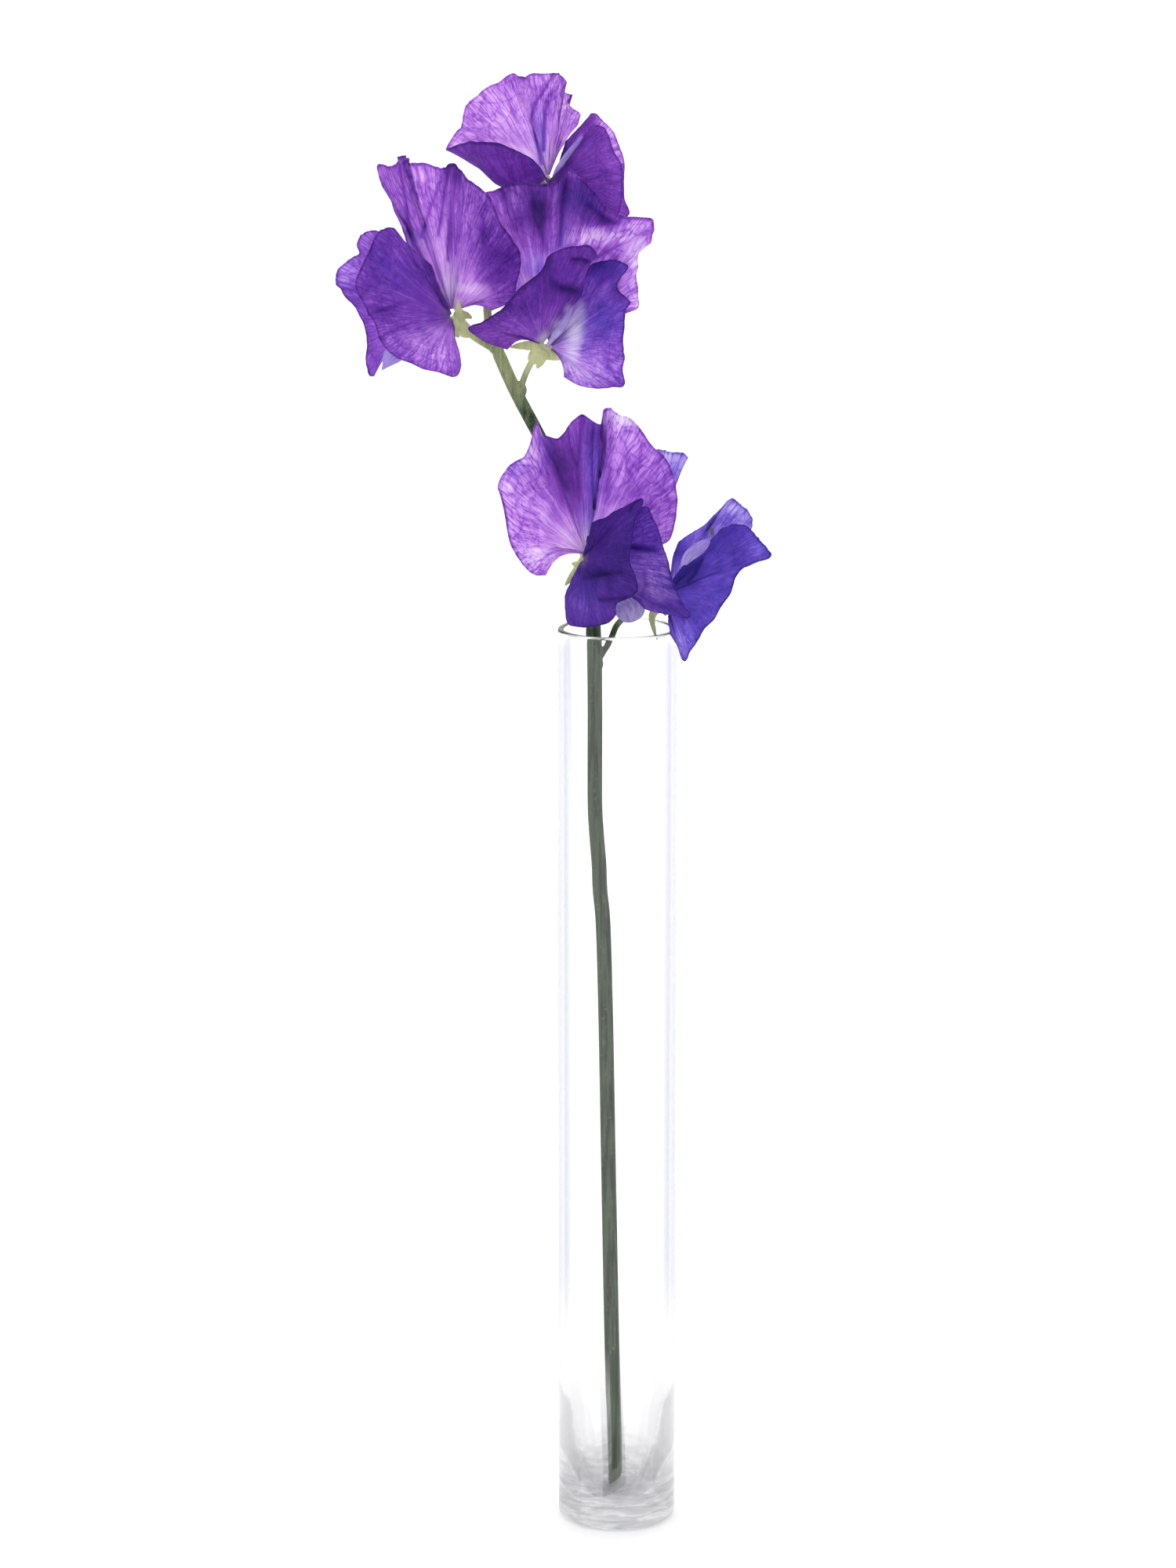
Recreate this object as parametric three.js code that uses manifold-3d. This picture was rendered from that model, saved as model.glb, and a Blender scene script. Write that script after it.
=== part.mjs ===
// A cut stem of sweet pea with five open blooms, standing in a tall slim cylinder of clear glass.
// Millimetres, +Z up. The origin is the centre of the vase's underside; the stem leans to the back left.
import * as THREE from 'three';
import { mergeVertices } from 'three/addons/utils/BufferGeometryUtils.js';
import Module from 'manifold-3d';

const wasm = await Module();
wasm.setup();

// Driving dimensions
const vaseRadius = 15;
const vaseHeight = 233.3;
const wallThickness = 1.5;
const floorThickness = 5.1;
const floorBowlHeight = 31.6;
const footRounding = 1.6;
const stemRadius = 1.85;
const stemTopRadius = 1.55;
const stalkRadius = 0.8;
const petalThickness = 0.6;
const clawRadius = 0.9;
const calyxRadius = 1.95;
const seatGap = 0.4;
const footCutHeight = 2.15;
const footCutReach = 20;

// A calyx cup from under its foot to its mouth: share of its length, and radius there
const cupProfile = [[-0.12, 0.9], [0.15, 1.5], [0.45, 1.83], [0.8, calyxRadius], [1, 1.56]];

// A calyx tooth: where on the cup it is rooted and where it leaves, then its half-widths and half-depths
const tooth = {
  rootShare: 0.58,
  rootRadius: 1.17,
  shoulderShare: 0.84,
  bulge: 0.5,
  radii: [[0.8, 0.45], [1.1, 0.5], [0.75, 0.42], [0.16, 0.16]],
};

// The waves of a petal's margin: the share of its length where they begin, and their shift along it
const waveStart = 0.4;
const waveShift = 0.7;

// Fineness of the facets
const vaseSides = 44;
const bowlSteps = 8;
const stemSides = 8;
const stemSteps = 36;
const stalkSides = 6;
const calyxSides = 8;
const calyxSteps = 4;
const toothSides = 4;
const toothSteps = 4;
const keelSides = 8;
const keelSteps = 8;
const petalRows = 5;

const materials = {
  glass: new THREE.MeshStandardMaterial({
    color: 0xe9eef0, roughness: 0.03, metalness: 0, transparent: true, opacity: 0.35,
  }),
  stem: new THREE.MeshStandardMaterial({ color: 0x566a48, roughness: 0.55, metalness: 0 }),
  banner: new THREE.MeshStandardMaterial({
    color: 0x9a5fc8, roughness: 0.6, metalness: 0, side: THREE.DoubleSide,
  }),
  wing: new THREE.MeshStandardMaterial({
    color: 0x5a37a0, roughness: 0.6, metalness: 0, side: THREE.DoubleSide,
  }),
  keel: new THREE.MeshStandardMaterial({ color: 0xcfc6e2, roughness: 0.6, metalness: 0 }),
};

const vector = (point) => new THREE.Vector3(...point);
const curveThrough = (points) => new THREE.CatmullRomCurve3(points, false, 'catmullrom', 0.5);

// Closed solids from rows of points, and joining of solids

function geometryFrom(positions, triangles) {
  const geometry = new THREE.BufferGeometry();
  geometry.setAttribute('position', new THREE.Float32BufferAttribute(positions, 3));
  geometry.setIndex(triangles);
  return geometry;
}

function solidFrom(geometry) {
  const bare = geometry.clone();
  bare.deleteAttribute('normal');
  bare.deleteAttribute('uv');
  const merged = mergeVertices(bare, 1e-5);
  return new wasm.Manifold(new wasm.Mesh({
    numProp: 3,
    vertProperties: new Float32Array(merged.attributes.position.array),
    triVerts: new Uint32Array(merged.index.array),
  }));
}

// The largest of a solid's bodies: a pocket sealed inside it is filled, and a loose scrap is dropped.
function largestBody(solid) {
  return solid.decompose().reduce((best, body) => (body.volume() > best.volume() ? body : best));
}

function meshOf(name, geometry, material) {
  geometry.computeVertexNormals();
  const mesh = new THREE.Mesh(geometry, material);
  mesh.name = name;
  return mesh;
}

function meshFrom(name, solid, material) {
  const { vertProperties, triVerts } = solid.getMesh();
  return meshOf(name, geometryFrom(Array.from(vertProperties), Array.from(triVerts)), material);
}

// A rod through the given points. Each point's radius is a number, or a pair: across and in depth.
function rod(points, radii, sides, steps) {
  const path = curveThrough(points.map(vector));
  const radiusPath = curveThrough(radii.map((r) => vector(Array.isArray(r) ? [r[0], r[1], 0] : [r, r, 0])));
  const positions = [];
  const triangles = [];
  for (let i = 0; i <= steps; i += 1) {
    const centre = path.getPoint(i / steps);
    const along = path.getTangent(i / steps);
    const across = new THREE.Vector3(0, 1, 0).cross(along).normalize();
    const deep = along.clone().cross(across);
    const radius = radiusPath.getPoint(i / steps);
    for (let k = 0; k < sides; k += 1) {
      const angle = (2 * Math.PI * k) / sides;
      const place = centre.clone()
        .addScaledVector(across, radius.x * Math.cos(angle))
        .addScaledVector(deep, radius.y * Math.sin(angle));
      positions.push(place.x, place.y, place.z);
    }
  }
  for (let i = 0; i < steps; i += 1) {
    for (let k = 0; k < sides; k += 1) {
      const a = i * sides + k;
      const b = i * sides + ((k + 1) % sides);
      triangles.push(a, b, b + sides, a, b + sides, a + sides);
    }
  }
  const last = steps * sides;
  for (let k = 1; k < sides - 1; k += 1) {
    triangles.push(0, k + 1, k, last, last + k, last + k + 1);
  }
  return geometryFrom(positions, triangles);
}

// The glass cylinder: straight wall, fire-rounded rim, bowl-shaped inner floor, rounded foot
function vaseProfile() {
  const innerRadius = vaseRadius - wallThickness;
  const rimRadius = wallThickness / 2;
  const profile = [[0, 0], [vaseRadius - footRounding, 0]];
  for (let i = 1; i <= 2; i += 1) {
    const angle = (Math.PI / 4) * i;
    profile.push([
      vaseRadius - footRounding * (1 - Math.sin(angle)),
      footRounding * (1 - Math.cos(angle)),
    ]);
  }
  for (let i = 0; i <= 4; i += 1) {
    const angle = (Math.PI / 4) * i;
    profile.push([
      innerRadius + rimRadius + rimRadius * Math.cos(angle),
      vaseHeight - rimRadius + rimRadius * Math.sin(angle),
    ]);
  }
  for (let i = 0; i <= bowlSteps; i += 1) {
    const share = 1 - i / bowlSteps;
    profile.push([innerRadius * share, floorThickness + floorBowlHeight * share ** 3]);
  }
  return profile.map(([x, y]) => new THREE.Vector2(x, y));
}

function vase() {
  const geometry = new THREE.LatheGeometry(vaseProfile(), vaseSides);
  geometry.rotateX(Math.PI / 2);
  return meshFrom('vase', solidFrom(geometry), materials.glass);
}

// Stalks of the whole stem, from the foot on the vase's floor up to the top bloom
const stalkPaths = {
  main: [
    [-0.5, 0, 4.4], [-0.4, 0.3, 14.3], [-1.3, 1.6, 48], [-2.1, 3.4, 89], [-2.9, 5.2, 130.5],
    [-3.6, 6.2, 155], [-4.4, 6.6, 164], [-4.7, 6.9, 171], [-5.4, 7.3, 179.5], [-5.8, 7.8, 188],
    [-5.8, 8.8, 211], [-6, 9.6, 229], [-6.2, 10.6, 236], [-6.7, 11.4, 242], [-7.9, 12.3, 250],
    [-11.3, 13.6, 262], [-16.3, 14.6, 272.7], [-20.8, 15, 281.6], [-25.7, 15, 291], [-30.4, 15, 301.6],
  ],
  upper: [
    [-29.8, 15, 300.3], [-32.2, 16.6, 307], [-32.4, 18.4, 316], [-29.6, 20, 326], [-24.4, 22, 334],
    [-19.8, 23.1, 338],
  ],
};

const upperRadii = [1.3, 1.1, 1, 0.95, 0.9, 0.9];

// The stem's foot is cut off on the slant, a little above the vase's inner floor.
function slantedFootCut() {
  const block = new THREE.BoxGeometry(footCutReach, footCutReach, footCutReach);
  block.translate(0, 0, -footCutReach / 2);
  block.rotateY(-Math.PI / 4);
  block.translate(stalkPaths.main[0][0], stalkPaths.main[0][1], floorThickness + footCutHeight);
  return solidFrom(block);
}

// Where each bloom's calyx and claws sit, from the calyx's foot and mouth
function bloomFrame(bloom) {
  const foot = vector(bloom.calyx.foot);
  const mouth = vector(bloom.calyx.mouth);
  const axis = mouth.clone().sub(foot).normalize();
  const up = vector(bloom.calyx.bannerSide);
  up.addScaledVector(axis, -up.dot(axis)).normalize();
  const right = axis.clone().cross(up);
  return { foot, mouth, axis, up, right };
}

function clawPlace(bloom, petalName) {
  const { mouth, axis, up, right } = bloomFrame(bloom);
  const offsets = {
    banner: [0.35, 1.5, 0],
    wing_left: [0.15, 0, -1.2],
    wing_right: [0.15, 0, 1.2],
    keel: [0.4, -0.5, 0],
  };
  const [forward, upward, sideways] = offsets[petalName];
  return mouth.clone()
    .addScaledVector(axis, seatGap + forward)
    .addScaledVector(up, upward)
    .addScaledVector(right, sideways);
}

// The green cup and its pointed teeth, rooted in its wall
function calyxSolid(bloom) {
  const { foot, mouth, axis } = bloomFrame(bloom);
  const at = (share) => foot.clone().lerp(mouth, share).toArray();
  let calyx = solidFrom(rod(
    cupProfile.map(([share]) => at(share)),
    cupProfile.map(([, radius]) => radius),
    calyxSides,
    calyxSteps,
  ));
  for (const entry of bloom.calyx.teeth) {
    const tip = vector(entry.slice(0, 3));
    const outward = tip.clone().sub(mouth);
    outward.addScaledVector(axis, -outward.dot(axis)).normalize();
    const root = vector(at(tooth.rootShare)).addScaledVector(outward, tooth.rootRadius);
    const shoulder = vector(at(tooth.shoulderShare)).addScaledVector(outward, calyxRadius);
    const middle = entry.length > 3
      ? vector(entry.slice(3))
      : shoulder.clone().lerp(tip, 0.5).addScaledVector(outward, tooth.bulge);
    const path = [root, shoulder, middle, tip].map((point) => point.toArray());
    calyx = calyx.add(solidFrom(rod(path, tooth.radii, toothSides, toothSteps)));
  }
  return calyx;
}

// A petal: ribs fan out from a small arc round the claw to the margin's points. The surface between is
// smooth, and sweeps back or forward towards the margin.
function petalSurface(bloom, petalName) {
  const petal = bloom.petals[petalName];
  const claw = clawPlace(bloom, petalName);
  const margin = petal.margin.map((entry) => vector(entry.slice(0, 3)));
  const longest = Math.max(...margin.map((point) => point.distanceTo(claw)));
  const middle = petal.margin.map((entry, i) => {
    if (entry.length > 3) {
      return vector(entry.slice(3));
    }
    const point = claw.clone().lerp(margin[i], 0.5);
    point.y += petal.crown * (margin[i].distanceTo(claw) / longest);
    return point;
  });
  const marginCurve = curveThrough(margin);
  const middleCurve = curveThrough(middle);
  const sweepCurve = curveThrough(petal.sweep.map((depth) => vector([0, depth, 0])));
  return (u, t) => {
    const half = middleCurve.getPoint(u);
    const start = half.clone().sub(claw).setLength(clawRadius).add(claw);
    const end = marginCurve.getPoint(u);
    const pull = half.clone().multiplyScalar(2).addScaledVector(start, -0.5).addScaledVector(end, -0.5);
    return start.multiplyScalar((1 - t) * (1 - t))
      .addScaledVector(pull, 2 * t * (1 - t))
      .addScaledVector(end, t * t)
      .addScaledVector(sweepCurve.getPoint(u), t * t);
  };
}

// Direction across the blade at a point of the surface
function bladeNormal(surface, u, t) {
  const step = 0.004;
  const clampedT = Math.min(Math.max(t, 0.04), 1 - step);
  const clampedU = Math.min(Math.max(u, step), 1 - step);
  const alongU = surface(clampedU + step, clampedT).sub(surface(clampedU - step, clampedT));
  const alongT = surface(clampedU, clampedT + step).sub(surface(clampedU, clampedT - step));
  return alongU.cross(alongT).normalize();
}

// The waves grow from nothing where they begin to their full height at the margin.
function waveHeight(petal, u, t) {
  const [count, height] = petal.waves;
  const growth = Math.max(0, (t - waveStart) / (1 - waveStart));
  return height * growth * growth * Math.sin(2 * Math.PI * count * u + waveShift);
}

function petalGeometry(bloom, petalName) {
  const petal = bloom.petals[petalName];
  const surface = petalSurface(bloom, petalName);
  const columns = petal.margin.length - 1;
  const rows = petalRows;
  const half = petalThickness / 2;
  const faces = [[], []];
  for (let i = 0; i <= columns; i += 1) {
    for (let j = 0; j <= rows; j += 1) {
      const u = i / columns;
      const t = j / rows;
      const across = bladeNormal(surface, u, t);
      const centre = surface(u, t).addScaledVector(across, waveHeight(petal, u, t));
      faces[0].push(...centre.clone().addScaledVector(across, half).toArray());
      faces[1].push(...centre.clone().addScaledVector(across, -half).toArray());
    }
  }
  const stride = rows + 1;
  const back = (columns + 1) * stride;
  const triangles = [];
  for (let i = 0; i < columns; i += 1) {
    for (let j = 0; j < rows; j += 1) {
      const a = i * stride + j;
      const b = a + stride;
      triangles.push(a, b, b + 1, a, b + 1, a + 1);
      triangles.push(back + a, back + b + 1, back + b, back + a, back + a + 1, back + b + 1);
    }
  }
  const edge = (a, b) => triangles.push(a, a + back, b + back, a, b + back, b);
  for (let i = 0; i < columns; i += 1) {
    edge(i * stride, (i + 1) * stride);
    edge((i + 1) * stride + rows, i * stride + rows);
  }
  for (let j = 0; j < rows; j += 1) {
    edge(j + 1, j);
    edge(columns * stride + j, columns * stride + j + 1);
  }
  return geometryFrom([...faces[0], ...faces[1]], triangles);
}

// The keel: a slim closed horn between the wings
function keelGeometry(bloom) {
  const keel = bloom.petals.keel;
  const start = clawPlace(bloom, 'keel').toArray();
  return rod([start, ...keel.path], keel.radii, keelSides, keelSteps);
}

// Blooms. Each one's numbers are in its own frame: x to the right, y away from the viewer, z up,
// leaned back by its tilt in degrees. A margin entry is a point of the petal's edge, and may be followed
// by the point that its rib passes half-way. Sweep says how far the edge is carried back, or forward if
// negative, at even steps along it. Waves are their count and height. Crown is the ribs' own bulge.
const lowLeftBloom = {
  name: 'bloom_low_left',
  place: [-9, 5, 250.5],
  tilt: 9.5,
  calyx: {
    foot: [0.6, 5.6, -3.2],
    mouth: [1.2, 1.2, -1],
    bannerSide: [0, 0, 1],
    teeth: [[-4.4, 0.8, -7.6], [-2.2, 0.2, -1.8], [0.8, 2.6, -6.4], [4.6, 2.6, -3.6], [1.4, 5, 4.4]],
  },
  petals: {
    banner: {
      crown: -2,
      waves: [7, 1.3],
      sweep: [0, -5, -3, 0.5, 4, 3, -1, -1.5, 0],
      margin: [
        [-9.8, 0, -4.1, -5.4, -0.6, 0], [-12.8, -0.6, -4.1, -6.4, -1.2, 1],
        [-15.4, -0.6, -1.2, -7.6, -1, 1.6], [-18.4, -0.3, 4.8], [-20.3, 0, 12], [-21.1, 0, 17.8],
        [-18, -0.8, 22.8], [-14.2, -0.8, 25.6], [-12, 0.6, 33], [-9.3, 0.2, 30.6], [-5.8, -0.6, 29.9],
        [-3.8, 0, 32.2], [0, 0.4, 35.2], [4.3, -0.8, 33.6], [6.3, 0, 34.2], [7, 1.4, 37], [8.8, 1.6, 36.2],
        [13, 1, 34.2], [18.2, 0, 27.2], [21.5, 0, 24], [23.6, -0.4, 18.5], [24, -0.8, 12.5],
        [22.9, -1, 6.4], [20.3, -0.2, 3], [13, 1.4, 0.4], [6, 3.4, 0.4],
      ],
    },
    wing_right: {
      crown: -4,
      waves: [4, 0.6],
      sweep: [0, 0, 0, 0, 0],
      margin: [
        [2.4, -2.5, 4.6], [3.6, -4, 7.2], [5.6, -5, 9.2], [8.2, -5.5, 11.1], [11, -5.5, 12.6],
        [14, -5, 13.8], [15.6, -6, 13.4], [13.6, -8.5, 9], [12.6, -10.5, 4], [12, -12, -1],
        [13.5, -13, -5.5], [14, -13, -8.6], [11.6, -12.5, -10.6], [8.7, -12, -12], [8.4, -11.5, -15],
        [6.2, -11, -16.8], [2.5, -10.5, -17.5], [-1, -10, -17.7], [-3.6, -9, -16.8], [-4.3, -8, -13.6],
        [-3.7, -6.5, -10.2, -1.8, -4.6, -5.5],
      ],
    },
    wing_left: {
      crown: -3,
      waves: [4, 0.6],
      sweep: [0, 0, -1.5, -1, 0],
      margin: [
        [6, -1.6, 5], [10, -2.5, 9], [13.5, -3, 12], [16.6, -4, 12.4], [17.9, -5, 9.6], [19.4, -5, 6.4],
        [20.4, -5.5, 2.6], [21.5, -6.5, -0.5], [22.4, -8.5, -4.5], [23.6, -10.5, -8.6],
        [25.6, -12.8, -12.4], [27.2, -14.2, -15.2], [24, -13.5, -15.1], [20, -13, -14.3],
        [16.4, -12.5, -13.4], [14.2, -12, -11.6],
      ],
    },
    keel: {
      path: [[2.6, -2, -4.2], [7, -3, -8.6], [11.4, -4.8, -12], [12.2, -6.2, -16.6]],
      radii: [[0.5, 0.5], [1.2, 0.8], [2.6, 1.1], [4, 1.2], [1.6, 0.5]],
    },
  },
};

const lowRightBloom = {
  name: 'bloom_low_right',
  place: [14.5, -3, 238.2],
  tilt: 10.1,
  calyx: {
    foot: [-8, 3, 2],
    mouth: [-3, 0.8, 3.5],
    bannerSide: [-0.4, 0.5, 0.75],
    teeth: [
      [-4.7, -0.4, -7.9, -5.9, 0.6, -1.6], [-2.6, 3.6, -1.6], [-5.4, 4.6, 1.6], [-6.6, 1.4, 9.4],
      [-5.6, 0.4, 7],
    ],
  },
  petals: {
    banner: {
      crown: 2.5,
      waves: [5, 1.2],
      sweep: [0, 0, 0, 0, 0],
      margin: [
        [-6, 15, 3, -4.6, 7.4, 6.4], [-7, 21, 5, -4.9, 10.8, 7.4], [-7.4, 26, 9, -5.1, 13.8, 9],
        [-7, 29, 16], [-6, 29, 23], [-4, 26.6, 29], [-0.8, 22, 33, -3.4, 13.4, 18.4],
        [2.9, 16.4, 38.8, -3, 11, 21], [-1, 14.4, 40.2, -3.6, 10, 22], [-5, 13.2, 40.4, -5.2, 9.4, 22.4],
        [-8.4, 12.2, 37, -7, 9, 21.4],
      ],
    },
    wing_left: {
      crown: -0.4,
      waves: [4, 0.6],
      sweep: [0, 1.5, 4, 3, 0],
      margin: [
        [-1, 2, 13.2], [0.8, 2.4, 17], [4, 2.5, 19.4], [8, 2.5, 21.8], [11, 2, 24.7], [12.6, 1.4, 27],
        [14.4, 1.2, 27.8], [16.4, 0.8, 26.4], [18.2, 0.6, 25], [19.4, 0.2, 22.6], [19, 0, 20.4],
        [14, 0.4, 13.4], [7, 1.2, 7.6],
      ],
    },
    wing_right: {
      crown: -1.6,
      waves: [4, 0.6],
      sweep: [0, -3, -6, -4, 0],
      margin: [
        [12.2, -3.2, 19.6, 3.2, -2.6, 12.4], [14.5, -3, 21], [17, -3, 21.3], [19, -3.4, 19.8],
        [21, -4, 17.4], [23, -4.5, 15], [23.5, -4.8, 13.6], [20.5, -5, 12], [16.6, -5.2, 10],
        [14, -5.2, 5.5], [10.5, -5.2, 0], [7, -5.2, -5.5], [4, -5.4, -10.5], [2, -5.4, -12.8],
        [0.4, -5.2, -10], [-0.7, -4.6, -6],
      ],
    },
    keel: {
      path: [[1.4, -0.6, 7.8], [3.6, -0.6, 13], [7, -0.8, 16.2], [8.8, -0.8, 17.8], [8.8, -0.8, 20.3]],
      radii: [[0.5, 0.5], [1.1, 0.6], [2.2, 0.8], [1.6, 0.7], [0.5, 0.5], [0.4, 0.4]],
    },
  },
};

const midLeftBloom = {
  name: 'bloom_mid_left',
  place: [-41, 11, 310.3],
  tilt: 6.8,
  calyx: {
    foot: [3.8, 2.4, -4.6],
    mouth: [-0.5, 0.5, -0.9],
    bannerSide: [0.7, 0.5, 0.5],
    teeth: [
      [1.3, -1.8, 4.2, 1.5, -1.9, 1.2], [4.8, 3.2, -0.9], [2.6, 5.6, -2], [-0.6, 3.6, -5.6],
      [1.6, -1, -5.6],
    ],
  },
  petals: {
    banner: {
      crown: 1.5,
      waves: [7, 1.2],
      sweep: [0, 3, 5, 3, 0, -3, -5, -2, 0],
      margin: [
        [-12.3, 2.6, 18.3], [-14.2, 2.2, 24.5], [-16.2, 1.5, 30.5], [-19.4, 1, 37], [-17, 1.6, 36.9],
        [-14.6, 2.6, 38.1], [-13.4, 1.6, 39.8], [-12.4, 2.6, 38.1], [-8.5, 2, 38.1], [-4.5, 1.5, 37.2],
        [-1.6, 1, 36.8], [-0.4, -0.4, 37.7], [2, -0.4, 36], [4.2, 0, 34.3], [6.4, -0.4, 31.7],
        [9.6, -1, 28], [12.8, -1.4, 23.4], [15.2, -1.5, 18.8], [16.8, -1.5, 14], [17, -2, 10],
        [15.9, -2, 6, 7.6, 0.2, 3.9], [13.4, -1.5, 3, 6.4, 0.4, 3.2], [10, -0.8, 1.2, 5, 0.6, 2.6],
      ],
    },
    wing_left: {
      crown: -4,
      waves: [4, 0.6],
      sweep: [-1, -4, -7, -6, 0],
      margin: [
        [-5, -5, 12.3, -2.7, -4, 5.7], [-7.6, -5.5, 15], [-12, -6, 18], [-14.4, -6, 21.2],
        [-16.6, -6, 21.7], [-18.6, -6.5, 20.2], [-20.4, -7, 16], [-22.6, -7.5, 11.6], [-23.8, -8, 8],
        [-22.6, -8, 4.6], [-20, -8, 0], [-18, -8.5, -5.5], [-15.8, -8.5, -8.8], [-10, -8, -11.8],
        [-4.6, -7, -13.6], [0.4, -6, -15.3], [1.8, -5, -13], [1.3, -4, -8],
      ],
    },
    wing_right: {
      crown: -0.6,
      waves: [4, 0.6],
      sweep: [0, 1, -1, -3, 0],
      margin: [
        [-6, 0.8, 9], [-13, -0.2, 16.6], [-18, -0.6, 20.6], [-20.6, -0.6, 21.1], [-23, -0.6, 20.2],
        [-24, -0.6, 18], [-23.4, -1, 15.4], [-26, -1.5, 13.8], [-28.6, -2, 11.4], [-29.2, -2, 8.6],
        [-28, -2.2, 6], [-25, -2, 2.6], [-22.6, -1.5, -1], [-21.4, -1, -5.5],
        [-21.8, -1, -10.5, -12.2, -0.4, -4], [-21.2, -1, -14.8, -12.6, -0.3, -5],
        [-19.6, -1, -15.4, -12.4, -0.2, -5.6],
      ],
    },
    keel: {
      path: [[-4.4, -2.2, -2.6], [-9.6, -4.6, -5.6], [-14.4, -6, -9.4], [-17.6, -6.4, -13.6]],
      radii: [[0.5, 0.5], [1.6, 0.9], [2.4, 1], [2.5, 1], [0.5, 0.5]],
    },
  },
};

const midRightBloom = {
  name: 'bloom_mid_right',
  place: [-19.5, 9, 302.9],
  tilt: 7.1,
  calyx: {
    foot: [-1.8, 2.5, -3.6],
    mouth: [1.2, 0.2, -0.4],
    bannerSide: [-0.3, 0.7, 0.6],
    teeth: [[-7.6, -0.6, -0.4], [-3.6, 4.4, 2.6], [4.4, 5, -0.4], [6.4, -0.6, -2.6], [-0.8, -1.4, -5.8]],
  },
  petals: {
    banner: {
      crown: 1,
      waves: [7, 1.2],
      sweep: [0, 0, -2, -3, -2, -5, 1, 5, 1],
      margin: [
        [-4, 3, 6], [-9, 4, 12], [-13.5, 4.5, 20], [-16, 4.5, 28], [-16, 4.5, 34], [-14, 4.5, 38],
        [-11, 4, 39], [-8, 3.6, 40.2], [-3.5, 3, 40.9], [0, 2.6, 40.5], [4, 3, 40.8], [7.4, 2, 44],
        [9.2, 1.6, 42.9], [11.4, 1, 41.2], [13, 0.6, 38.8], [15.4, 0, 35.6], [18.6, -1, 33.3],
        [23, -2, 32.2], [27.8, -3, 31.4], [28.8, -3, 29.6], [27.8, -2.6, 27.9], [25.6, -1, 25.6],
        [25.5, 0, 24], [25, 0.6, 20.5], [24, 0.6, 17.6], [24.4, 1, 13], [24.7, 1.6, 9.5], [19, 2, 7],
        [11, 2.8, 4.2],
      ],
    },
    wing_right: {
      crown: -4,
      waves: [4, 0.6],
      sweep: [-1, -4, -6, -8, -1],
      margin: [
        [-8.2, -6, -0.9, -4.3, -5, 1.6], [-12.5, -6.5, 0.8, -6.4, -6.4, 2.2],
        [-16, -6.5, 2.4, -8, -7.2, 2.8], [-17.6, -6.5, 4.4, -8.6, -7.4, 3.2], [-15, -6, 5.8],
        [-11.5, -6, 8], [-8.5, -6, 10.1], [-5.5, -6, 13.5], [-3, -6, 16], [0, -6, 18.3], [2.2, -6, 22],
        [5, -6, 23.6], [9, -6, 24.6], [12.4, -6.5, 25], [14, -7, 23], [12.9, -7.5, 20], [11.2, -8, 16],
        [10.2, -8, 12.6],
      ],
    },
    wing_left: {
      crown: -2.6,
      waves: [4, 0.6],
      sweep: [0, -3, -6, -8, -1],
      margin: [
        [11.8, -4, 18.8, 8.2, -2.8, 8.6], [14, -4.2, 20.3, 9.2, -3.2, 9.4],
        [17, -4.5, 21.3, 10, -3.8, 9.6], [19.6, -4.5, 21.2], [22.4, -5, 19.6], [21.6, -5.5, 17.2],
        [19.7, -5.5, 15.3], [19.8, -5, 13.6], [22.4, -4.5, 11.4], [23, -4.5, 10], [21.6, -5, 7],
        [20.8, -5.5, 2], [20.9, -6, -4], [21.4, -6.5, -9.8], [17.5, -7, -10.8],
        [13, -7, -10.4, 8, -5, -4.9], [9, -6.5, -9.4, 6.4, -4.4, -4.2], [6.6, -6, -8, 5.4, -3.6, -3.6],
      ],
    },
    keel: {
      path: [[3.3, -2, 1.8], [5.1, -3.9, 4.6], [7.2, -5.5, 8.4], [8.6, -6.1, 11.6]],
      radii: [[0.4, 0.4], [0.7, 0.45], [1.3, 0.5], [1, 0.5], [0.3, 0.3]],
    },
  },
};

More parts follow.
